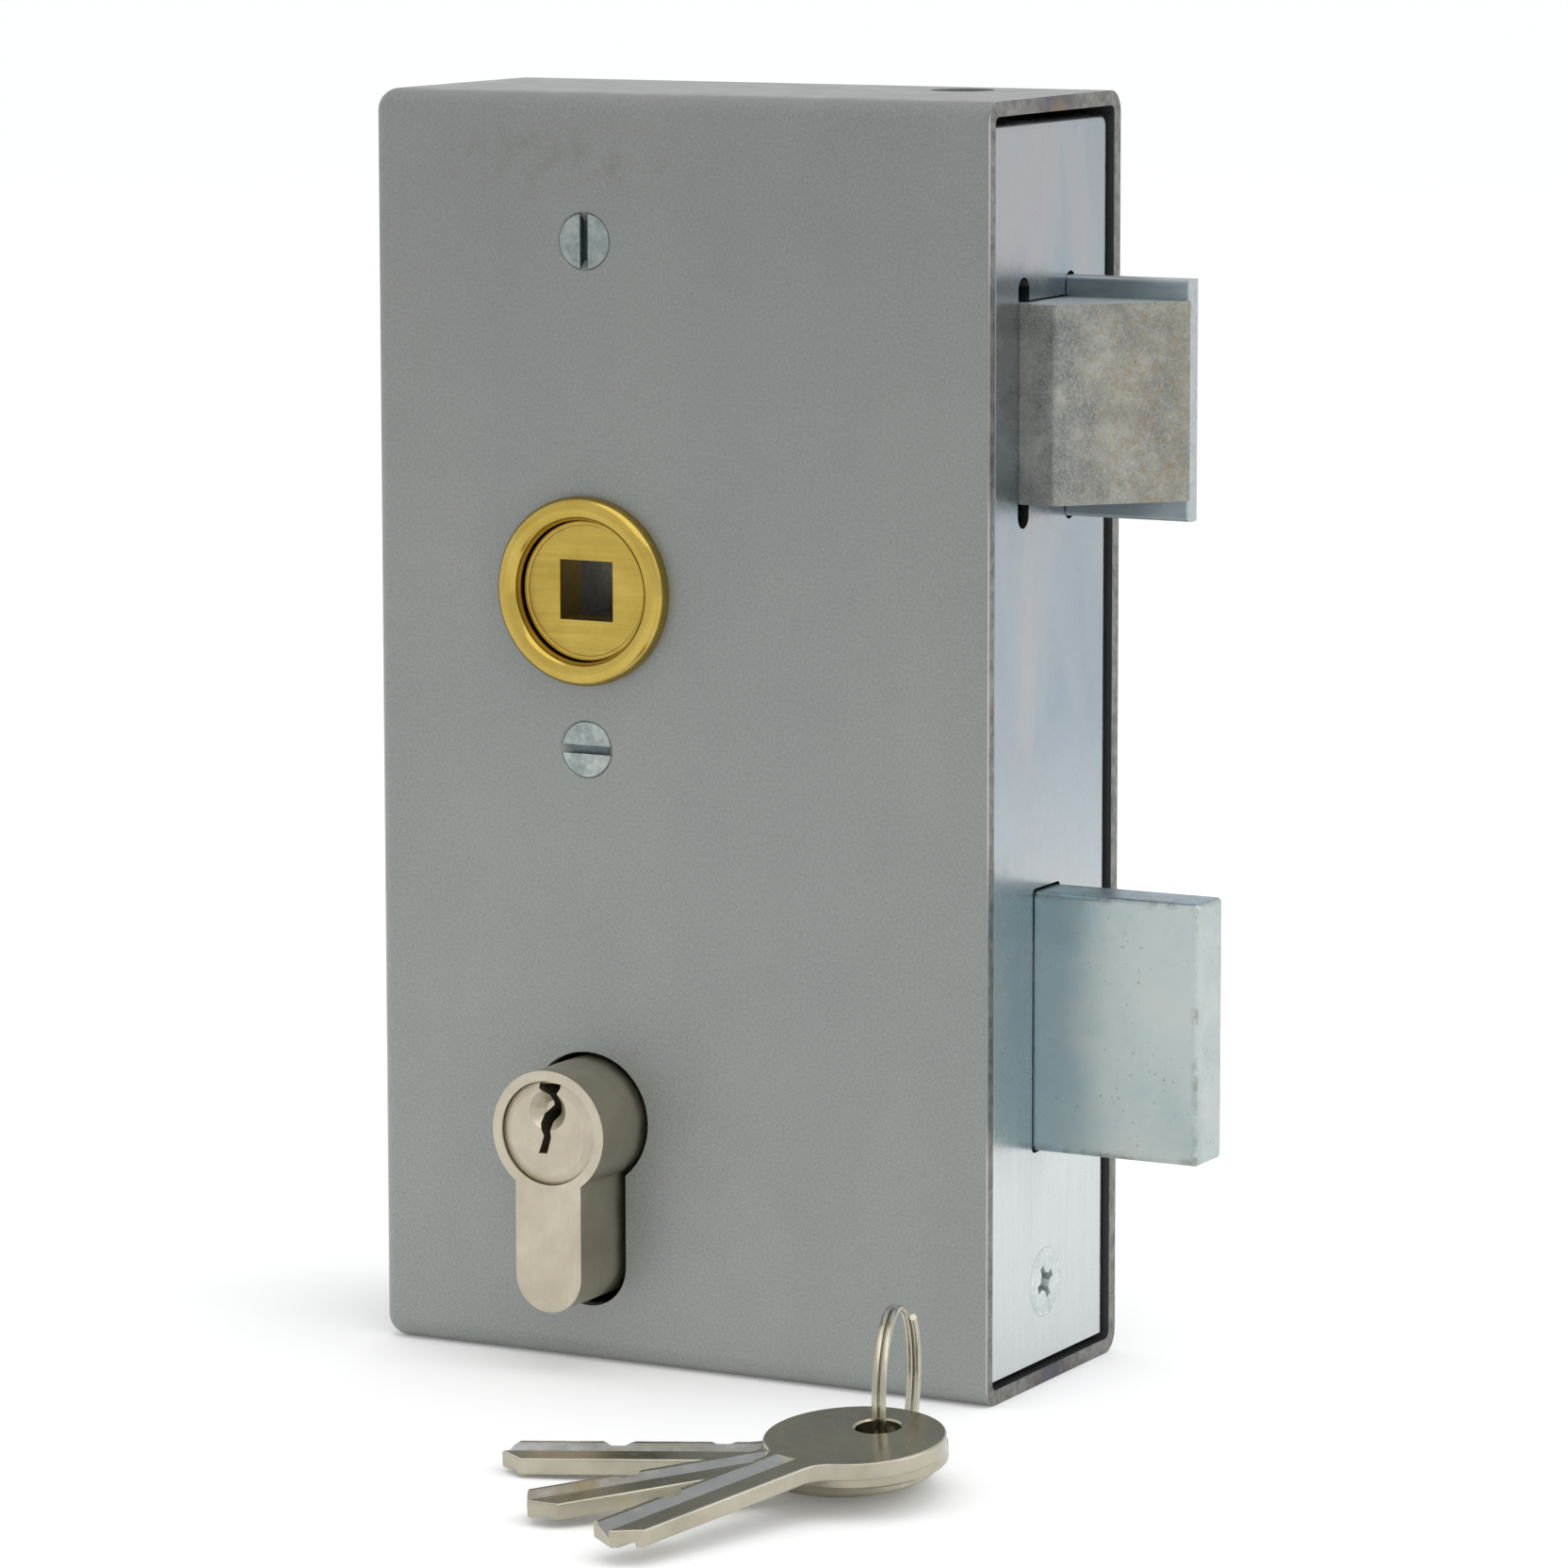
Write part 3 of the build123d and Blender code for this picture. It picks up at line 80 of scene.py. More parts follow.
# ---- node graphs -----------------------------------------------------------------
class Graph:
    """A material's node tree, built with one short call per node."""

    def __init__(self, name):
        self.material = bpy.data.materials.new(name)
        self.material.use_nodes = True
        self.tree = self.material.node_tree
        self.tree.nodes.clear()
        self.out = self.tree.nodes.new("ShaderNodeOutputMaterial")
        self.bsdf = self.tree.nodes.new("ShaderNodeBsdfPrincipled")
        self.tree.links.new(self.bsdf.outputs[0], self.out.inputs["Surface"])
        self.place = self.tree.nodes.new("ShaderNodeTexCoord").outputs["Object"]

    def feed(self, value, socket):
        if isinstance(value, bpy.types.NodeSocket):
            self.tree.links.new(value, socket)
        else:
            socket.default_value = value

    def node(self, kind, inputs=(), **settings):
        made = self.tree.nodes.new(kind)
        for key, value in settings.items():
            setattr(made, key, value)
        for key, value in dict(inputs).items():
            self.feed(value, made.inputs[key])
        return made

    def stretched(self, scale, shift=(0, 0, 0)):
        made = self.node("ShaderNodeMapping",
                         {"Vector": self.place, "Scale": scale, "Location": shift})
        return made.outputs[0]

    def noise(self, scale, detail=3.0, rough=0.55, vector=None, distortion=0.0):
        made = self.node("ShaderNodeTexNoise", {
            "Vector": vector or self.place, "Scale": scale, "Detail": detail,
            "Roughness": rough, "Distortion": distortion,
        })
        return made.outputs["Fac"]

    def cells(self, scale):
        made = self.node("ShaderNodeTexVoronoi", {"Vector": self.place, "Scale": scale},
                         feature="F1")
        return made.outputs["Distance"]

    def ramp(self, value, stops):
        made = self.node("ShaderNodeValToRGB", {"Fac": value})
        elements = made.color_ramp.elements
        while len(elements) < len(stops):
            elements.new(0.5)
        for element, (place, colour) in zip(elements, stops):
            element.position = place
            element.color = (*colour, 1)
        return made.outputs["Color"]

    def spread(self, value, low, high, to_low=0.0, to_high=1.0):
        """value from low..high to to_low..to_high, and no further."""
        made = self.node("ShaderNodeMapRange", {
            "Value": value, "From Min": low, "From Max": high, "To Min": to_low, "To Max": to_high,
        })
        return made.outputs[0]

    def sums(self, operation, a, b=0.0):
        made = self.tree.nodes.new("ShaderNodeMath")
        made.operation = operation
        self.feed(a, made.inputs[0])
        self.feed(b, made.inputs[1])
        return made.outputs[0]

    def mix(self, factor, a, b, blend="MIX"):
        made = self.node("ShaderNodeMix", data_type="RGBA", blend_type=blend)
        self.feed(factor, made.inputs["Factor"])
        for value, socket in ((a, made.inputs[6]), (b, made.inputs[7])):
            self.feed((*value, 1) if isinstance(value, tuple) else value, socket)
        return made.outputs[2]

    def lay(self, tone, mask, amount, colour):
        """tone with colour laid over it where mask is 1, by amount."""
        return self.mix(self.sums("MULTIPLY", mask, amount), tone, colour)

    def axis(self, letter):
        made = self.node("ShaderNodeSeparateXYZ", {"Vector": self.place})
        return made.outputs["XYZ".index(letter)]

    def normal_axis(self, letter):
        normal = self.node("ShaderNodeTexCoord").outputs["Normal"]
        made = self.node("ShaderNodeSeparateXYZ", {"Vector": normal})
        return made.outputs["XYZ".index(letter)]

    def bump(self, height, distance, strength=1.0, under=None):
        inputs = {"Height": height, "Distance": distance, "Strength": strength}
        if under is not None:
            inputs["Normal"] = under
        return self.node("ShaderNodeBump", inputs).outputs[0]

    def band(self, value, centre, half, soft):
        """1 within half of centre, fading to 0 over soft."""
        away = self.sums("ABSOLUTE", self.sums("SUBTRACT", value, centre))
        return self.spread(away, half, half + soft, 1.0, 0.0)

    def rims(self, low, high, half, soft):
        """1 along the top and the bottom of a box."""
        return self.sums("MAXIMUM", self.band(self.axis("Z"), high[2], half, soft),
                         self.band(self.axis("Z"), low[2], half, soft))

    def set(self, **sockets):
        names = {"base": "Base Color", "metal": "Metallic", "rough": "Roughness",
                 "normal": "Normal", "spec": "Specular IOR Level",
                 "glow": "Emission Color", "glow_strength": "Emission Strength"}
        for key, value in sockets.items():
            if isinstance(value, tuple) and len(value) == 3:
                value = (*value, 1)
            self.feed(value, self.bsdf.inputs[names[key]])
        return self.material


# ---- materials --------------------------------------------------------------------
def case_paint():
    """Satin metallic grey paint; the cut ends at the forend are bare. Painted shade makes the
    inside near black, and painted light makes the grey lighter towards the bottom and darker
    towards the top.
    """
    g = Graph("case_paint")
    flakes = g.noise(2600.0, 1.0, 0.5)
    cloud = g.noise(26.0, 4.0, 0.6)
    streak = g.noise(60.0, 2.0, 0.5, g.stretched((1.0, 1.0, 0.12)))
    grey = g.mix(g.spread(cloud, 0.3, 0.7), (0.200, 0.218, 0.209), (0.234, 0.246, 0.234))
    grey = g.mix(g.spread(flakes, 0.35, 0.65, 0.0, 0.35), grey, (0.33, 0.34, 0.325))
    grey = g.mix(g.spread(streak, 0.45, 0.75, 0.0, 0.18), grey, (0.18, 0.195, 0.195))
    rub_x = g.band(g.axis("X"), -16 * MM, 5 * MM, 16 * MM)
    rub_z = g.band(g.axis("Z"), 163.5 * MM, 1.5 * MM, 5.0 * MM)
    rub = g.sums("MULTIPLY", g.sums("MULTIPLY", rub_x, rub_z),
                 g.spread(g.noise(300.0, 5.0, 0.7), 0.44, 0.66))
    grey = g.lay(grey, rub, 0.30, (0.15, 0.115, 0.095))
    scuffs = g.noise(95.0, 6.0, 0.75, g.stretched((1.0, 1.0, 0.4), (0.3, 0, 0)))
    scuffs = g.spread(scuffs, 0.66, 0.74)
    grey = g.lay(grey, scuffs, 0.18, (0.12, 0.12, 0.12))
    # painted light: the grey is multiplied lighter towards the bottom and darker towards the top,
    # standing in for light from the floor
    painted_floor_light = g.spread(g.axis("Z"), 15 * MM, 155 * MM, 1.15, 0.82)
    painted_floor_light = g.node("ShaderNodeCombineXYZ", {"X": painted_floor_light, "Y": painted_floor_light, "Z": painted_floor_light}).outputs[0]
    grey = g.mix(1.0, grey, painted_floor_light, "MULTIPLY")
    steel = g.mix(g.spread(g.noise(700.0, 4.0, 0.6), 0.35, 0.65), (0.12, 0.118, 0.11),
                  (0.24, 0.235, 0.22))
    heat = g.band(g.axis("Y"), 0.0, 1.5 * MM, 6.0 * MM)
    heat_tone = g.ramp(g.noise(160.0, 3.0), [
        (0.35, (0.11, 0.062, 0.030)), (0.5, (0.065, 0.07, 0.115)), (0.65, (0.17, 0.125, 0.08))])
    steel = g.lay(steel, heat, 0.85, heat_tone)
    arris = g.band(g.axis("Y"), -CASE_HALF_DEPTH, 0.35 * MM, 0.25 * MM)
    steel = g.lay(steel, arris, 0.7, (0.55, 0.56, 0.55))
    # painted shade: the inside of the case, seen in the gap by the forend, is drawn near black
    inner_y = CASE_HALF_DEPTH - CASE_WALL + 0.02 * MM
    inner_z = CASE_HALF_HEIGHT - CASE_WALL + 0.02 * MM
    inside = g.sums("MULTIPLY", g.band(g.axis("Y"), 0.0, inner_y, 0.04 * MM),
                    g.band(g.axis("Z"), CASE_MIDDLE_Z, inner_z, 0.04 * MM))
    grey = g.lay(grey, inside, 0.9, (0.022, 0.023, 0.024))
    cut = g.spread(g.axis("X"), CASE_END_X - 0.08 * MM, CASE_END_X - 0.03 * MM)
    facing = g.spread(g.normal_axis("X"), 0.75, 0.9)
    bare = g.sums("MULTIPLY", cut, facing)
    rough = g.spread(g.noise(180.0, 3.0), 0.3, 0.7, 0.36, 0.47)
    peel = g.bump(g.noise(900.0, 2.0, 0.5), 0.04 * MM, 0.35)
    grain = g.bump(g.noise(3200.0, 2.0, 0.6), 0.02 * MM, 0.35, peel)
    return g.set(base=g.mix(bare, grey, steel), metal=g.spread(bare, 0, 1, 0.35, 0.9),
                 rough=rough, normal=grain, spec=0.5)


def bright_zinc():
    """Zinc plate with a faint blue and pink film and handling marks; a painted reflection makes it
    paler towards the bottom and greyer towards the top.
    """
    g = Graph("bright_zinc")
    film = g.noise(30.0, 3.0, 0.55, g.stretched((1.0, 1.4, 0.45)), 0.8)
    tint = g.ramp(film, [(0.32, (0.28, 0.335, 0.38)), (0.46, (0.34, 0.37, 0.39)),
                         (0.56, (0.375, 0.37, 0.385)), (0.70, (0.295, 0.345, 0.385))])
    # painted reflection: the plate is drawn paler towards its lower end, standing in for the
    # bright studio it mirrors
    painted_low_reflection = g.spread(g.sums("ADD", g.axis("Z"), g.spread(film, 0.3, 0.7, -9 * MM, 9 * MM)),
                       30 * MM, 82 * MM, 1.0, 0.0)
    tint = g.mix(painted_low_reflection, tint, (0.58, 0.61, 0.61))
    lines = g.noise(1400.0, 3.0, 0.6, g.stretched((1.0, 1.0, 0.05)))
    tint = g.mix(g.spread(lines, 0.4, 0.7, 0.0, 0.12), tint, (0.30, 0.33, 0.35))
    marks = g.noise(120.0, 6.0, 0.8, g.stretched((1.0, 1.0, 0.5), (0, 0, 0.4)))
    marks = g.spread(marks, 0.68, 0.76)
    tint = g.lay(tint, marks, 0.35, (0.16, 0.165, 0.165))
    rough = g.spread(g.noise(240.0, 4.0, 0.6), 0.3, 0.7, 0.20, 0.32)
    grain = g.bump(lines, 0.008 * MM, 0.4)
    return g.set(base=tint, metal=1.0, rough=rough, normal=grain)


def plate_zinc():
    """Dull blue-grey zinc of the latch's guard plate, lighter along its top, bottom and end rims.
    """
    g = Graph("plate_zinc")
    low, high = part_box("latch_plate")
    cloud = g.noise(85.0, 5.0, 0.65)
    tint = g.mix(g.spread(cloud, 0.3, 0.7), (0.195, 0.240, 0.260), (0.285, 0.335, 0.355))
    rim = g.sums("MAXIMUM", g.rims(low, high, 0.25 * MM, 0.35 * MM),
                 g.band(g.axis("X"), high[0], 0.25 * MM, 0.35 * MM))
    tint = g.lay(tint, rim, 0.75, (0.50, 0.53, 0.54))
    grain = g.noise(1300.0, 4.0, 0.6, g.stretched((0.2, 1.0, 1.0)))
    tint = g.mix(g.spread(grain, 0.45, 0.7, 0.0, 0.25), tint, (0.08, 0.10, 0.115))
    rough = g.spread(cloud, 0.3, 0.7, 0.28, 0.40)
    return g.set(base=tint, metal=1.0, rough=rough, normal=g.bump(grain, 0.012 * MM, 0.5))


def bolt_zinc():
    """Bluish zinc on bar steel, pitted and browned towards the arrises; a painted reflection makes
    the upward faces darker and bluer.
    """
    g = Graph("bolt_zinc")
    low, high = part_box("deadbolt_block")
    cloud = g.noise(70.0, 5.0, 0.62)
    tint = g.ramp(cloud, [(0.30, (0.33, 0.41, 0.42)), (0.5, (0.44, 0.505, 0.495)),
                          (0.70, (0.515, 0.55, 0.53))])
    dots = g.spread(g.cells(900.0), 0.08, 0.22, 1.0, 0.0)
    dots = g.sums("MULTIPLY", dots, g.spread(g.noise(160.0, 4.0, 0.7), 0.48, 0.60))
    tint = g.lay(tint, dots, 0.55, (0.15, 0.125, 0.10))
    # painted reflection: faces turned upward are drawn darker and bluer
    painted_upward_reflection = g.spread(g.normal_axis("Z"), 0.6, 0.9)
    tint = g.lay(tint, painted_upward_reflection, 0.85, (0.20, 0.29, 0.355))
    root = g.spread(g.sums("ADD", g.axis("X"), g.spread(cloud, 0.3, 0.7, -2 * MM, 2 * MM)),
                    CASE_END_X + 3.5 * MM, CASE_END_X + 10.5 * MM, 1.0, 0.0)
    tint = g.lay(tint, root, 0.55, (0.25, 0.40, 0.46))
    edge = g.sums("MAXIMUM", g.rims(low, high, 0.3 * MM, 1.0 * MM),
                  g.band(g.axis("X"), high[0], 0.3 * MM, 0.9 * MM))
    off_the_end = g.spread(g.normal_axis("X"), 0.6, 0.9, 1.0, 0.15)
    stain = g.sums("MULTIPLY", g.sums("MULTIPLY", edge, off_the_end),
                   g.spread(g.noise(330.0, 5.0, 0.75), 0.47, 0.60))
    tint = g.lay(tint, stain, 0.55, (0.16, 0.125, 0.085))
    rough = g.spread(cloud, 0.3, 0.7, 0.30, 0.46)
    pits = g.bump(g.sums("SUBTRACT", g.noise(1100.0, 4.0, 0.6), dots), 0.03 * MM, 0.5)
    return g.set(base=tint, metal=0.95, rough=rough, normal=pits)


def latch_cast():
    """Raw sintered steel: fine specks, yellow-brown oil towards the tip and dark pits; a painted
    reflection lightens the upward faces and painted shade darkens the faces turned to +X.
    """
    g = Graph("latch_cast")
    low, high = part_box("latch_block")
    cloud = g.noise(150.0, 6.0, 0.72)
    tone = g.ramp(cloud, [(0.30, (0.115, 0.122, 0.118)), (0.48, (0.205, 0.212, 0.20)),
                          (0.68, (0.34, 0.35, 0.32))])
    specks = g.spread(g.noise(2600.0, 3.0, 0.7), 0.46, 0.62)
    tone = g.lay(tone, specks, 0.35, (0.44, 0.43, 0.395))
    tip = g.spread(g.sums("ADD", g.axis("X"), g.spread(cloud, 0.3, 0.7, -4 * MM, 4 * MM)),
                   high[0] - 13 * MM, high[0] - 5 * MM)
    wash = g.sums("MULTIPLY", tip, g.spread(g.noise(170.0, 5.0, 0.7), 0.36, 0.66, 0.05, 0.30))
    tone = g.mix(wash, tone, (0.31, 0.255, 0.145))
    spots = g.spread(g.noise(900.0, 4.0, 0.7), 0.52, 0.62)
    spots = g.sums("MULTIPLY", spots, g.spread(tip, 0, 1, 0.12, 0.7))
    tone = g.lay(tone, spots, 0.7, (0.235, 0.180, 0.095))
    dots = g.spread(g.cells(1100.0), 0.06, 0.20, 1.0, 0.0)
    dots = g.sums("MULTIPLY", dots, g.spread(g.noise(260.0, 4.0, 0.7), 0.50, 0.60))
    tone = g.lay(tone, dots, 0.75, (0.05, 0.048, 0.042))
    # painted reflection: faces turned upward are drawn light and bluish
    top = g.spread(g.normal_axis("Z"), 0.8, 0.95)
    tone = g.lay(tone, top, 0.7, (0.52, 0.58, 0.60))
    # painted shade: faces turned to +X are drawn darker
    painted_end_shade = g.spread(g.normal_axis("X"), 0.8, 0.95)
    tone = g.lay(tone, painted_end_shade, 0.7, (0.085, 0.105, 0.108))
    rough = g.spread(g.noise(500.0, 4.0), 0.3, 0.7, 0.38, 0.56)
    grit = g.bump(g.noise(2300.0, 5.0, 0.65), 0.05 * MM, 0.6)
    return g.set(base=tone, metal=0.8, rough=rough, normal=grit)


def brass(name, turned):
    """Brushed brass: straight grain on the follower's face, turned grain on the bush."""
    g = Graph(name)
    if turned:
        x = g.sums("SUBTRACT", g.axis("X"), SPINDLE_X)
        z = g.sums("SUBTRACT", g.axis("Z"), SPINDLE_Z)
        radius = g.sums("SQRT", g.sums("ADD", g.sums("MULTIPLY", x, x), g.sums("MULTIPLY", z, z)))
        place = g.node("ShaderNodeCombineXYZ", {"X": radius, "Y": g.axis("Y")}).outputs[0]
        grain = g.noise(2400.0, 3.0, 0.6, place)
        gloss, depth = (0.12, 0.22), 0.003 * MM
    else:
        grain = g.noise(1500.0, 4.0, 0.65, g.stretched((0.045, 1.0, 1.0)))
        gloss, depth = (0.28, 0.44), 0.014 * MM
    cloud = g.noise(150.0, 4.0, 0.6)
    tone = g.mix(g.spread(cloud, 0.3, 0.7), (0.43, 0.30, 0.058), (0.54, 0.395, 0.100))
    tone = g.mix(g.spread(grain, 0.35, 0.7, 0.0, 0.35), tone, (0.31, 0.225, 0.045))
    rough = g.spread(grain, 0.3, 0.7, *gloss)
    return g.set(base=tone, metal=1.0, rough=rough, normal=g.bump(grain, depth, 0.6))


def satin_nickel():
    """Warm satin nickel with soft clouding and a few handling marks."""
    g = Graph("satin_nickel")
    cloud = g.noise(130.0, 5.0, 0.6)
    tone = g.mix(g.spread(cloud, 0.3, 0.7), (0.45, 0.40, 0.305), (0.57, 0.525, 0.42))
    grain = g.noise(1600.0, 4.0, 0.6, g.stretched((1.0, 1.0, 0.25)))
    tone = g.mix(g.spread(grain, 0.4, 0.7, 0.0, 0.2), tone, (0.39, 0.345, 0.26))
    rough = g.spread(g.noise(420.0, 4.0), 0.3, 0.7, 0.34, 0.46)
    fine = g.bump(grain, 0.012 * MM, 0.5)
    return g.set(base=tone, metal=1.0, rough=rough, normal=fine)


def polished_nickel():
    """Key nickel with brushed faces, warm brassy wear and a painted reflection that makes the
    slightly tilted channel faces near white.
    """
    g = Graph("polished_nickel")
    cloud = g.noise(90.0, 4.0, 0.6)
    tone = g.mix(g.spread(cloud, 0.35, 0.65), (0.37, 0.345, 0.27), (0.48, 0.45, 0.36))
    wear = g.spread(g.noise(260.0, 5.0, 0.7), 0.56, 0.70)
    tone = g.lay(tone, wear, 0.30, (0.40, 0.31, 0.15))
    up = g.normal_axis("Z")
    # painted reflection: faces tilted a little from upward are drawn near white
    painted_slope_reflection = g.sums("MULTIPLY", g.spread(up, 0.89, 0.92), g.spread(up, 0.975, 0.985, 1.0, 0.0))
    tone = g.lay(tone, painted_slope_reflection, 0.9, (0.93, 0.92, 0.94))
    lines = g.noise(1500.0, 4.0, 0.6, g.stretched((0.16, 0.16, 1.0)))
    rough = g.spread(g.noise(350.0, 4.0, 0.6), 0.3, 0.7, 0.16, 0.30)
    fine = g.bump(lines, 0.006 * MM, 0.5)
    return g.set(base=tone, metal=1.0, rough=rough, normal=fine)


def plain_steel(name, dark, light, rough_range, streak=(1.0, 1.0, 1.0)):
    """Machined, sintered or drawn steel for the inner parts."""
    g = Graph(name)
    grain = g.noise(1200.0, 4.0, 0.6, g.stretched(streak))
    cloud = g.noise(140.0, 4.0, 0.6)
    tone = g.mix(g.spread(cloud, 0.3, 0.7), dark, light)
    tone = g.mix(g.spread(grain, 0.4, 0.7, 0.0, 0.25), tone, tuple(0.6 * c for c in dark))
    rough = g.spread(grain, 0.3, 0.7, *rough_range)
    fine = g.bump(grain, 0.012 * MM, 0.5)
    return g.set(base=tone, metal=1.0, rough=rough, normal=fine)


def screw_zinc(name, mottled):
    """Zinc with a turned face; the two screws of the case front are duller and mottled, with
    painted shade on what lies behind the case front.
    """
    g = Graph(name)
    grain = g.noise(1800.0, 4.0, 0.6, g.stretched((0.5, 1.0, 1.0)))
    if mottled:
        cloud_scale, dull, pale = 520.0, (0.25, 0.295, 0.285), (0.42, 0.455, 0.43)
    else:
        cloud_scale, dull, pale = 260.0, (0.52, 0.57, 0.575), (0.66, 0.70, 0.69)
    cloud = g.noise(cloud_scale, 4.0, 0.65)
    tone = g.mix(g.spread(cloud, 0.38, 0.62), dull, pale)
    tone = g.mix(g.spread(grain, 0.4, 0.7, 0.0, 0.25), tone, (0.10, 0.14, 0.15))
    if mottled:
        # painted shade: the screws' parts behind the case front are drawn dark
        painted_recess_shade = g.spread(g.axis("Y"), -CASE_HALF_DEPTH + 0.3 * MM, -CASE_HALF_DEPTH + 0.8 * MM)
        tone = g.lay(tone, painted_recess_shade, 0.75, (0.045, 0.075, 0.085))
        upper = g.spread(g.axis("Z"), BETWEEN_CASE_SCREWS_Z, BETWEEN_CASE_SCREWS_Z + 1 * MM,
                         0.0, 0.35)
        tone = g.mix(upper, tone, (0.12, 0.155, 0.155))
    rough = g.spread(grain, 0.3, 0.7, 0.24, 0.40)
    return g.set(base=tone, metal=1.0, rough=rough, normal=g.bump(grain, 0.015 * MM, 0.5))


looks = {
    "case_paint": (case_paint(), ("case_front_shell", "case_rear_shell", "case_weld_seam")),
    "bright_zinc": (bright_zinc(), ("lock_chassis", "chassis_cover_plate", "chassis_pillars",
                                    "latch_spring_bracket")),
    "plate_zinc": (plate_zinc(), ("latch_plate",)),
    "bolt_zinc": (bolt_zinc(), ("deadbolt_block", "deadbolt_tail")),
    "latch_cast": (latch_cast(), ("latch_block",)),
    "brass_turned": (brass("brass_turned", True), ("front_follower_bush", "rear_follower_bush")),
    "brass_brushed": (brass("brass_brushed", False), (
        "follower_disc_front", "follower_disc_rear", "driver_pins", "outer_key_pins",
        "inner_key_pins", "pin_chamber_caps")),
    "satin_nickel": (satin_nickel(), ("cylinder_body", "outer_plug", "inner_plug")),
    "polished_nickel": (polished_nickel(), ("key_top", "key_middle", "key_bottom", "key_ring")),
    "case_screw_zinc": (screw_zinc("case_screw_zinc", True), ("case_screws",)),
    "screw_zinc": (screw_zinc("screw_zinc", False), (
        "cylinder_screw", "cover_screws", "latch_rivets", "deadbolt_rivets",
        "latch_guide_stud", "deadbolt_guide_stud", "latch_spring_rod")),
    "follower_steel": (
        plain_steel("follower_steel", (0.22, 0.22, 0.22), (0.40, 0.40, 0.39), (0.35, 0.5)),
        ("follower", "cylinder_cam", "cam_clutch")),
    "spring_steel": (
        plain_steel("spring_steel", (0.30, 0.31, 0.33), (0.50, 0.51, 0.53), (0.22, 0.36)),
        ("follower_return_spring", "deadbolt_friction_spring", "pin_springs", "outer_circlip",
         "inner_circlip")),
}


def dress(node_name, material):
    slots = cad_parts[node_name].data.materials
    slots.clear()
    slots.append(material)


for material, node_names in looks.values():
    for node_name in node_names:
        dress(node_name, material)


# ---- softened arrises ---------------------------------------------------------------
WELD_WITHIN = 0.002 * MM
ARRIS_SEGMENTS = 2
ARRIS_FROM_DEG = 38


def soften(node_name, width_mm):
    """Welds the split corners and rounds the sharp arrises so that they catch the light."""
    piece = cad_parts[node_name]
    weld = piece.modifiers.new("weld", "WELD")
    weld.merge_threshold = WELD_WITHIN
    bevel = piece.modifiers.new("arris", "BEVEL")
    bevel.width = width_mm * MM
    bevel.segments = ARRIS_SEGMENTS
    bevel.limit_method = "ANGLE"
    bevel.angle_limit = math.radians(ARRIS_FROM_DEG)
    bevel.use_clamp_overlap = True
    bevel.harden_normals = True


soften("latch_block", 0.25)
soften("deadbolt_block", 0.2)


# ---- latch spring: a coil in place of the part's own, fixed to the root body ----------
def coil_mesh(name, start, length, radius, wire, turns, across=12, around=40):
    """A round-wire coil along +X, closed at both ends."""
    mesh = bmesh.new()
    rings = []
    steps = int(turns * around)
    for i in range(steps + 1):
        t = i / steps
        turn = 2 * math.pi * turns * t
        middle = Vector((start[0] + length * t, start[1] + radius * math.sin(turn),
                         start[2] + radius * math.cos(turn)))
        outward = Vector((0, math.sin(turn), math.cos(turn)))
        ring = []
        for k in range(across):
            a = 2 * math.pi * k / across
            ring.append(mesh.verts.new(middle + outward * (wire * math.cos(a))
                                       + Vector((1, 0, 0)) * (wire * math.sin(a))))
        rings.append(ring)
    for near, far in zip(rings, rings[1:]):
        for k in range(across):
            mesh.faces.new((near[k], near[(k + 1) % across], far[(k + 1) % across], far[k]))
    mesh.faces.new(list(reversed(rings[0])))
    mesh.faces.new(rings[-1])
    bmesh.ops.recalc_face_normals(mesh, faces=mesh.faces)
    data = bpy.data.meshes.new(name)
    mesh.to_mesh(data)
    mesh.free()
    for polygon in data.polygons:
        polygon.use_smooth = True
    made = bpy.data.objects.new(name, data)
    bpy.context.scene.collection.objects.link(made)
    return made


SPRING_WIRE_R = 0.5 * MM
SPRING_TURNS = 7
spring_low, spring_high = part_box("latch_spring")
spring_length = spring_high[0] - spring_low[0] - 2 * SPRING_WIRE_R
spring = coil_mesh(
    "latch_spring_coil",
    (spring_low[0] + SPRING_WIRE_R, (spring_low[1] + spring_high[1]) / 2,
     (spring_low[2] + spring_high[2]) / 2),
    spring_length,
    (spring_high[2] - spring_low[2]) / 2 - SPRING_WIRE_R,
    SPRING_WIRE_R,
    SPRING_TURNS,
)
spring.data.materials.append(looks["spring_steel"][0])
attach(spring, "root")
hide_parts("latch_spring")
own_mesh(spring)


# ---- studio ---------------------------------------------------------------------------
def pale_floor():
    g = Graph("pale_floor")
    speck = g.noise(900.0, 3.0)
    return g.set(base=g.mix(g.spread(speck, 0.3, 0.7), (0.89, 0.89, 0.885), (0.91, 0.91, 0.905)),
                 metal=0.0, rough=0.75, spec=0.2, glow=(1.0, 1.0, 1.0), glow_strength=0.10)


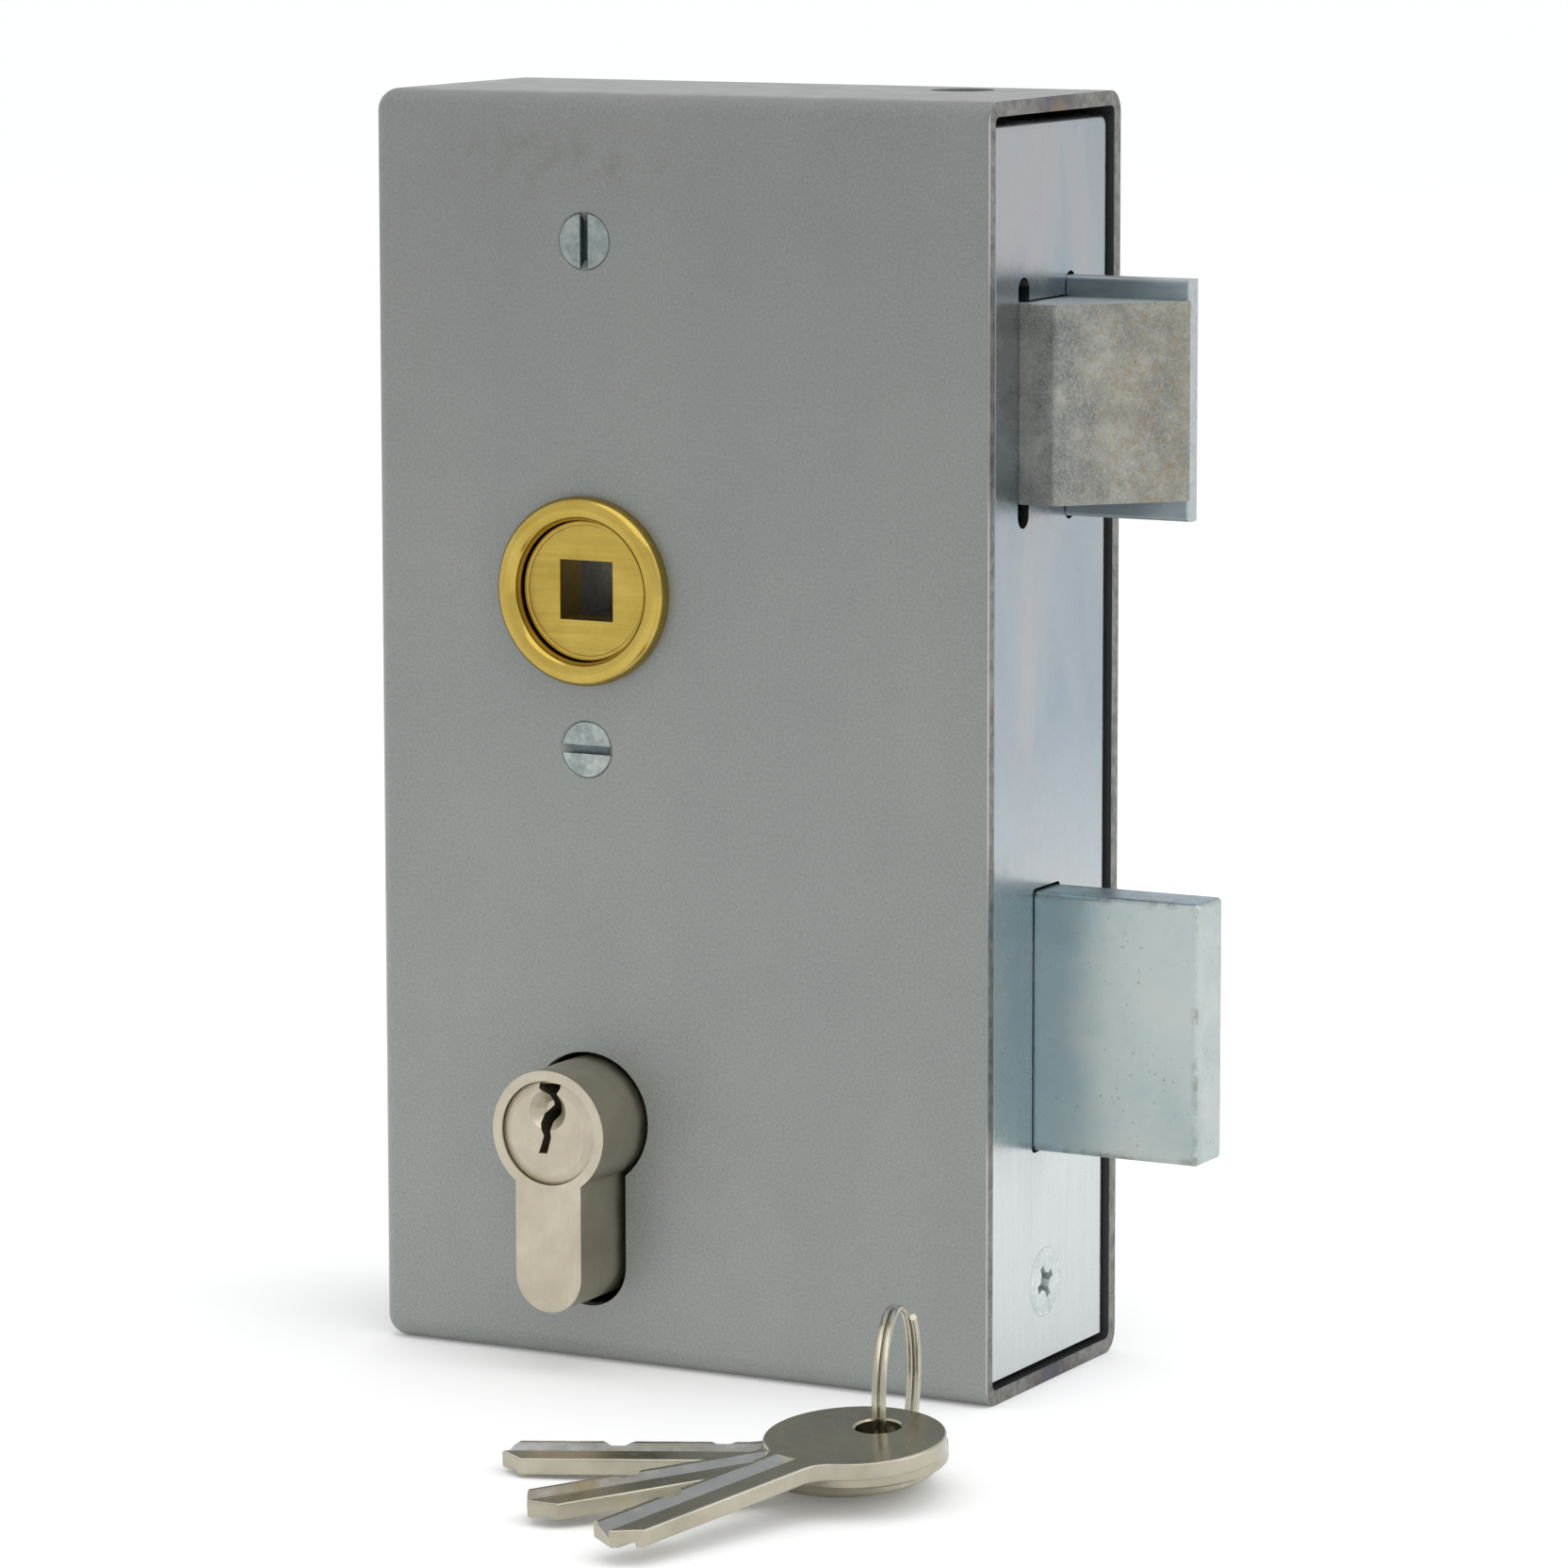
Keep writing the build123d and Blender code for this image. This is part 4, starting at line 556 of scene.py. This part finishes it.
FLOOR_HALF = 6.0
FLOOR_BELOW = 0.05 * MM
floor_mesh = bpy.data.meshes.new("floor")
floor_mesh.from_pydata(
    [(-FLOOR_HALF, -FLOOR_HALF, 0), (FLOOR_HALF, -FLOOR_HALF, 0), (FLOOR_HALF, FLOOR_HALF, 0),
     (-FLOOR_HALF, FLOOR_HALF, 0)], [], [(0, 1, 2, 3)])
floor = bpy.data.objects.new("floor", floor_mesh)
bpy.context.scene.collection.objects.link(floor)
floor.location.z = min(0.0, cad_box[0][2]) - FLOOR_BELOW
floor_mesh.materials.append(pale_floor())

world = bpy.data.worlds.new("studio")
bpy.context.scene.world = world
world.use_nodes = True
sky = world.node_tree.nodes["Background"]
sky.inputs["Color"].default_value = (0.98, 0.99, 1.0, 1)
sky.inputs["Strength"].default_value = 1.0
bpy.context.scene.view_settings.view_transform = "Standard"


def softbox(name, place, aim, size, power, colour):
    light = bpy.data.lights.new(name, "AREA")
    light.shape = "RECTANGLE"
    light.size, light.size_y = size
    light.energy = power
    light.color = colour
    lamp = bpy.data.objects.new(name, light)
    bpy.context.scene.collection.objects.link(lamp)
    lamp.location = place
    lamp.rotation_euler = (Vector(aim) - Vector(place)).to_track_quat("-Z", "Y").to_euler()


MIDDLE = (0.0, 0.0, 0.085)
softbox("overhead", (0.35, -0.25, 1.2), MIDDLE, (1.2, 1.2), 4.0, (1.0, 0.99, 0.97))
softbox("right_sky", (1.3, 0.3, 0.8), MIDDLE, (1.0, 1.0), 3.5, (0.93, 0.97, 1.0))

CAMERA_PLACE = (0.4353, -0.8122, 0.2147)
CAMERA_TURN_DEG = (82.353, 0.138, 28.263)
camera_data = bpy.data.cameras.new("camera")
camera_data.sensor_width = 36.0
camera_data.lens = 157.15
camera_data.shift_x = 0.0319
camera_data.shift_y = -0.0620
camera_data.clip_start = 0.05
camera_data.clip_end = 50.0
camera = bpy.data.objects.new("camera", camera_data)
bpy.context.scene.collection.objects.link(camera)
camera.location = CAMERA_PLACE
camera.rotation_euler = tuple(math.radians(a) for a in CAMERA_TURN_DEG)
bpy.context.scene.camera = camera
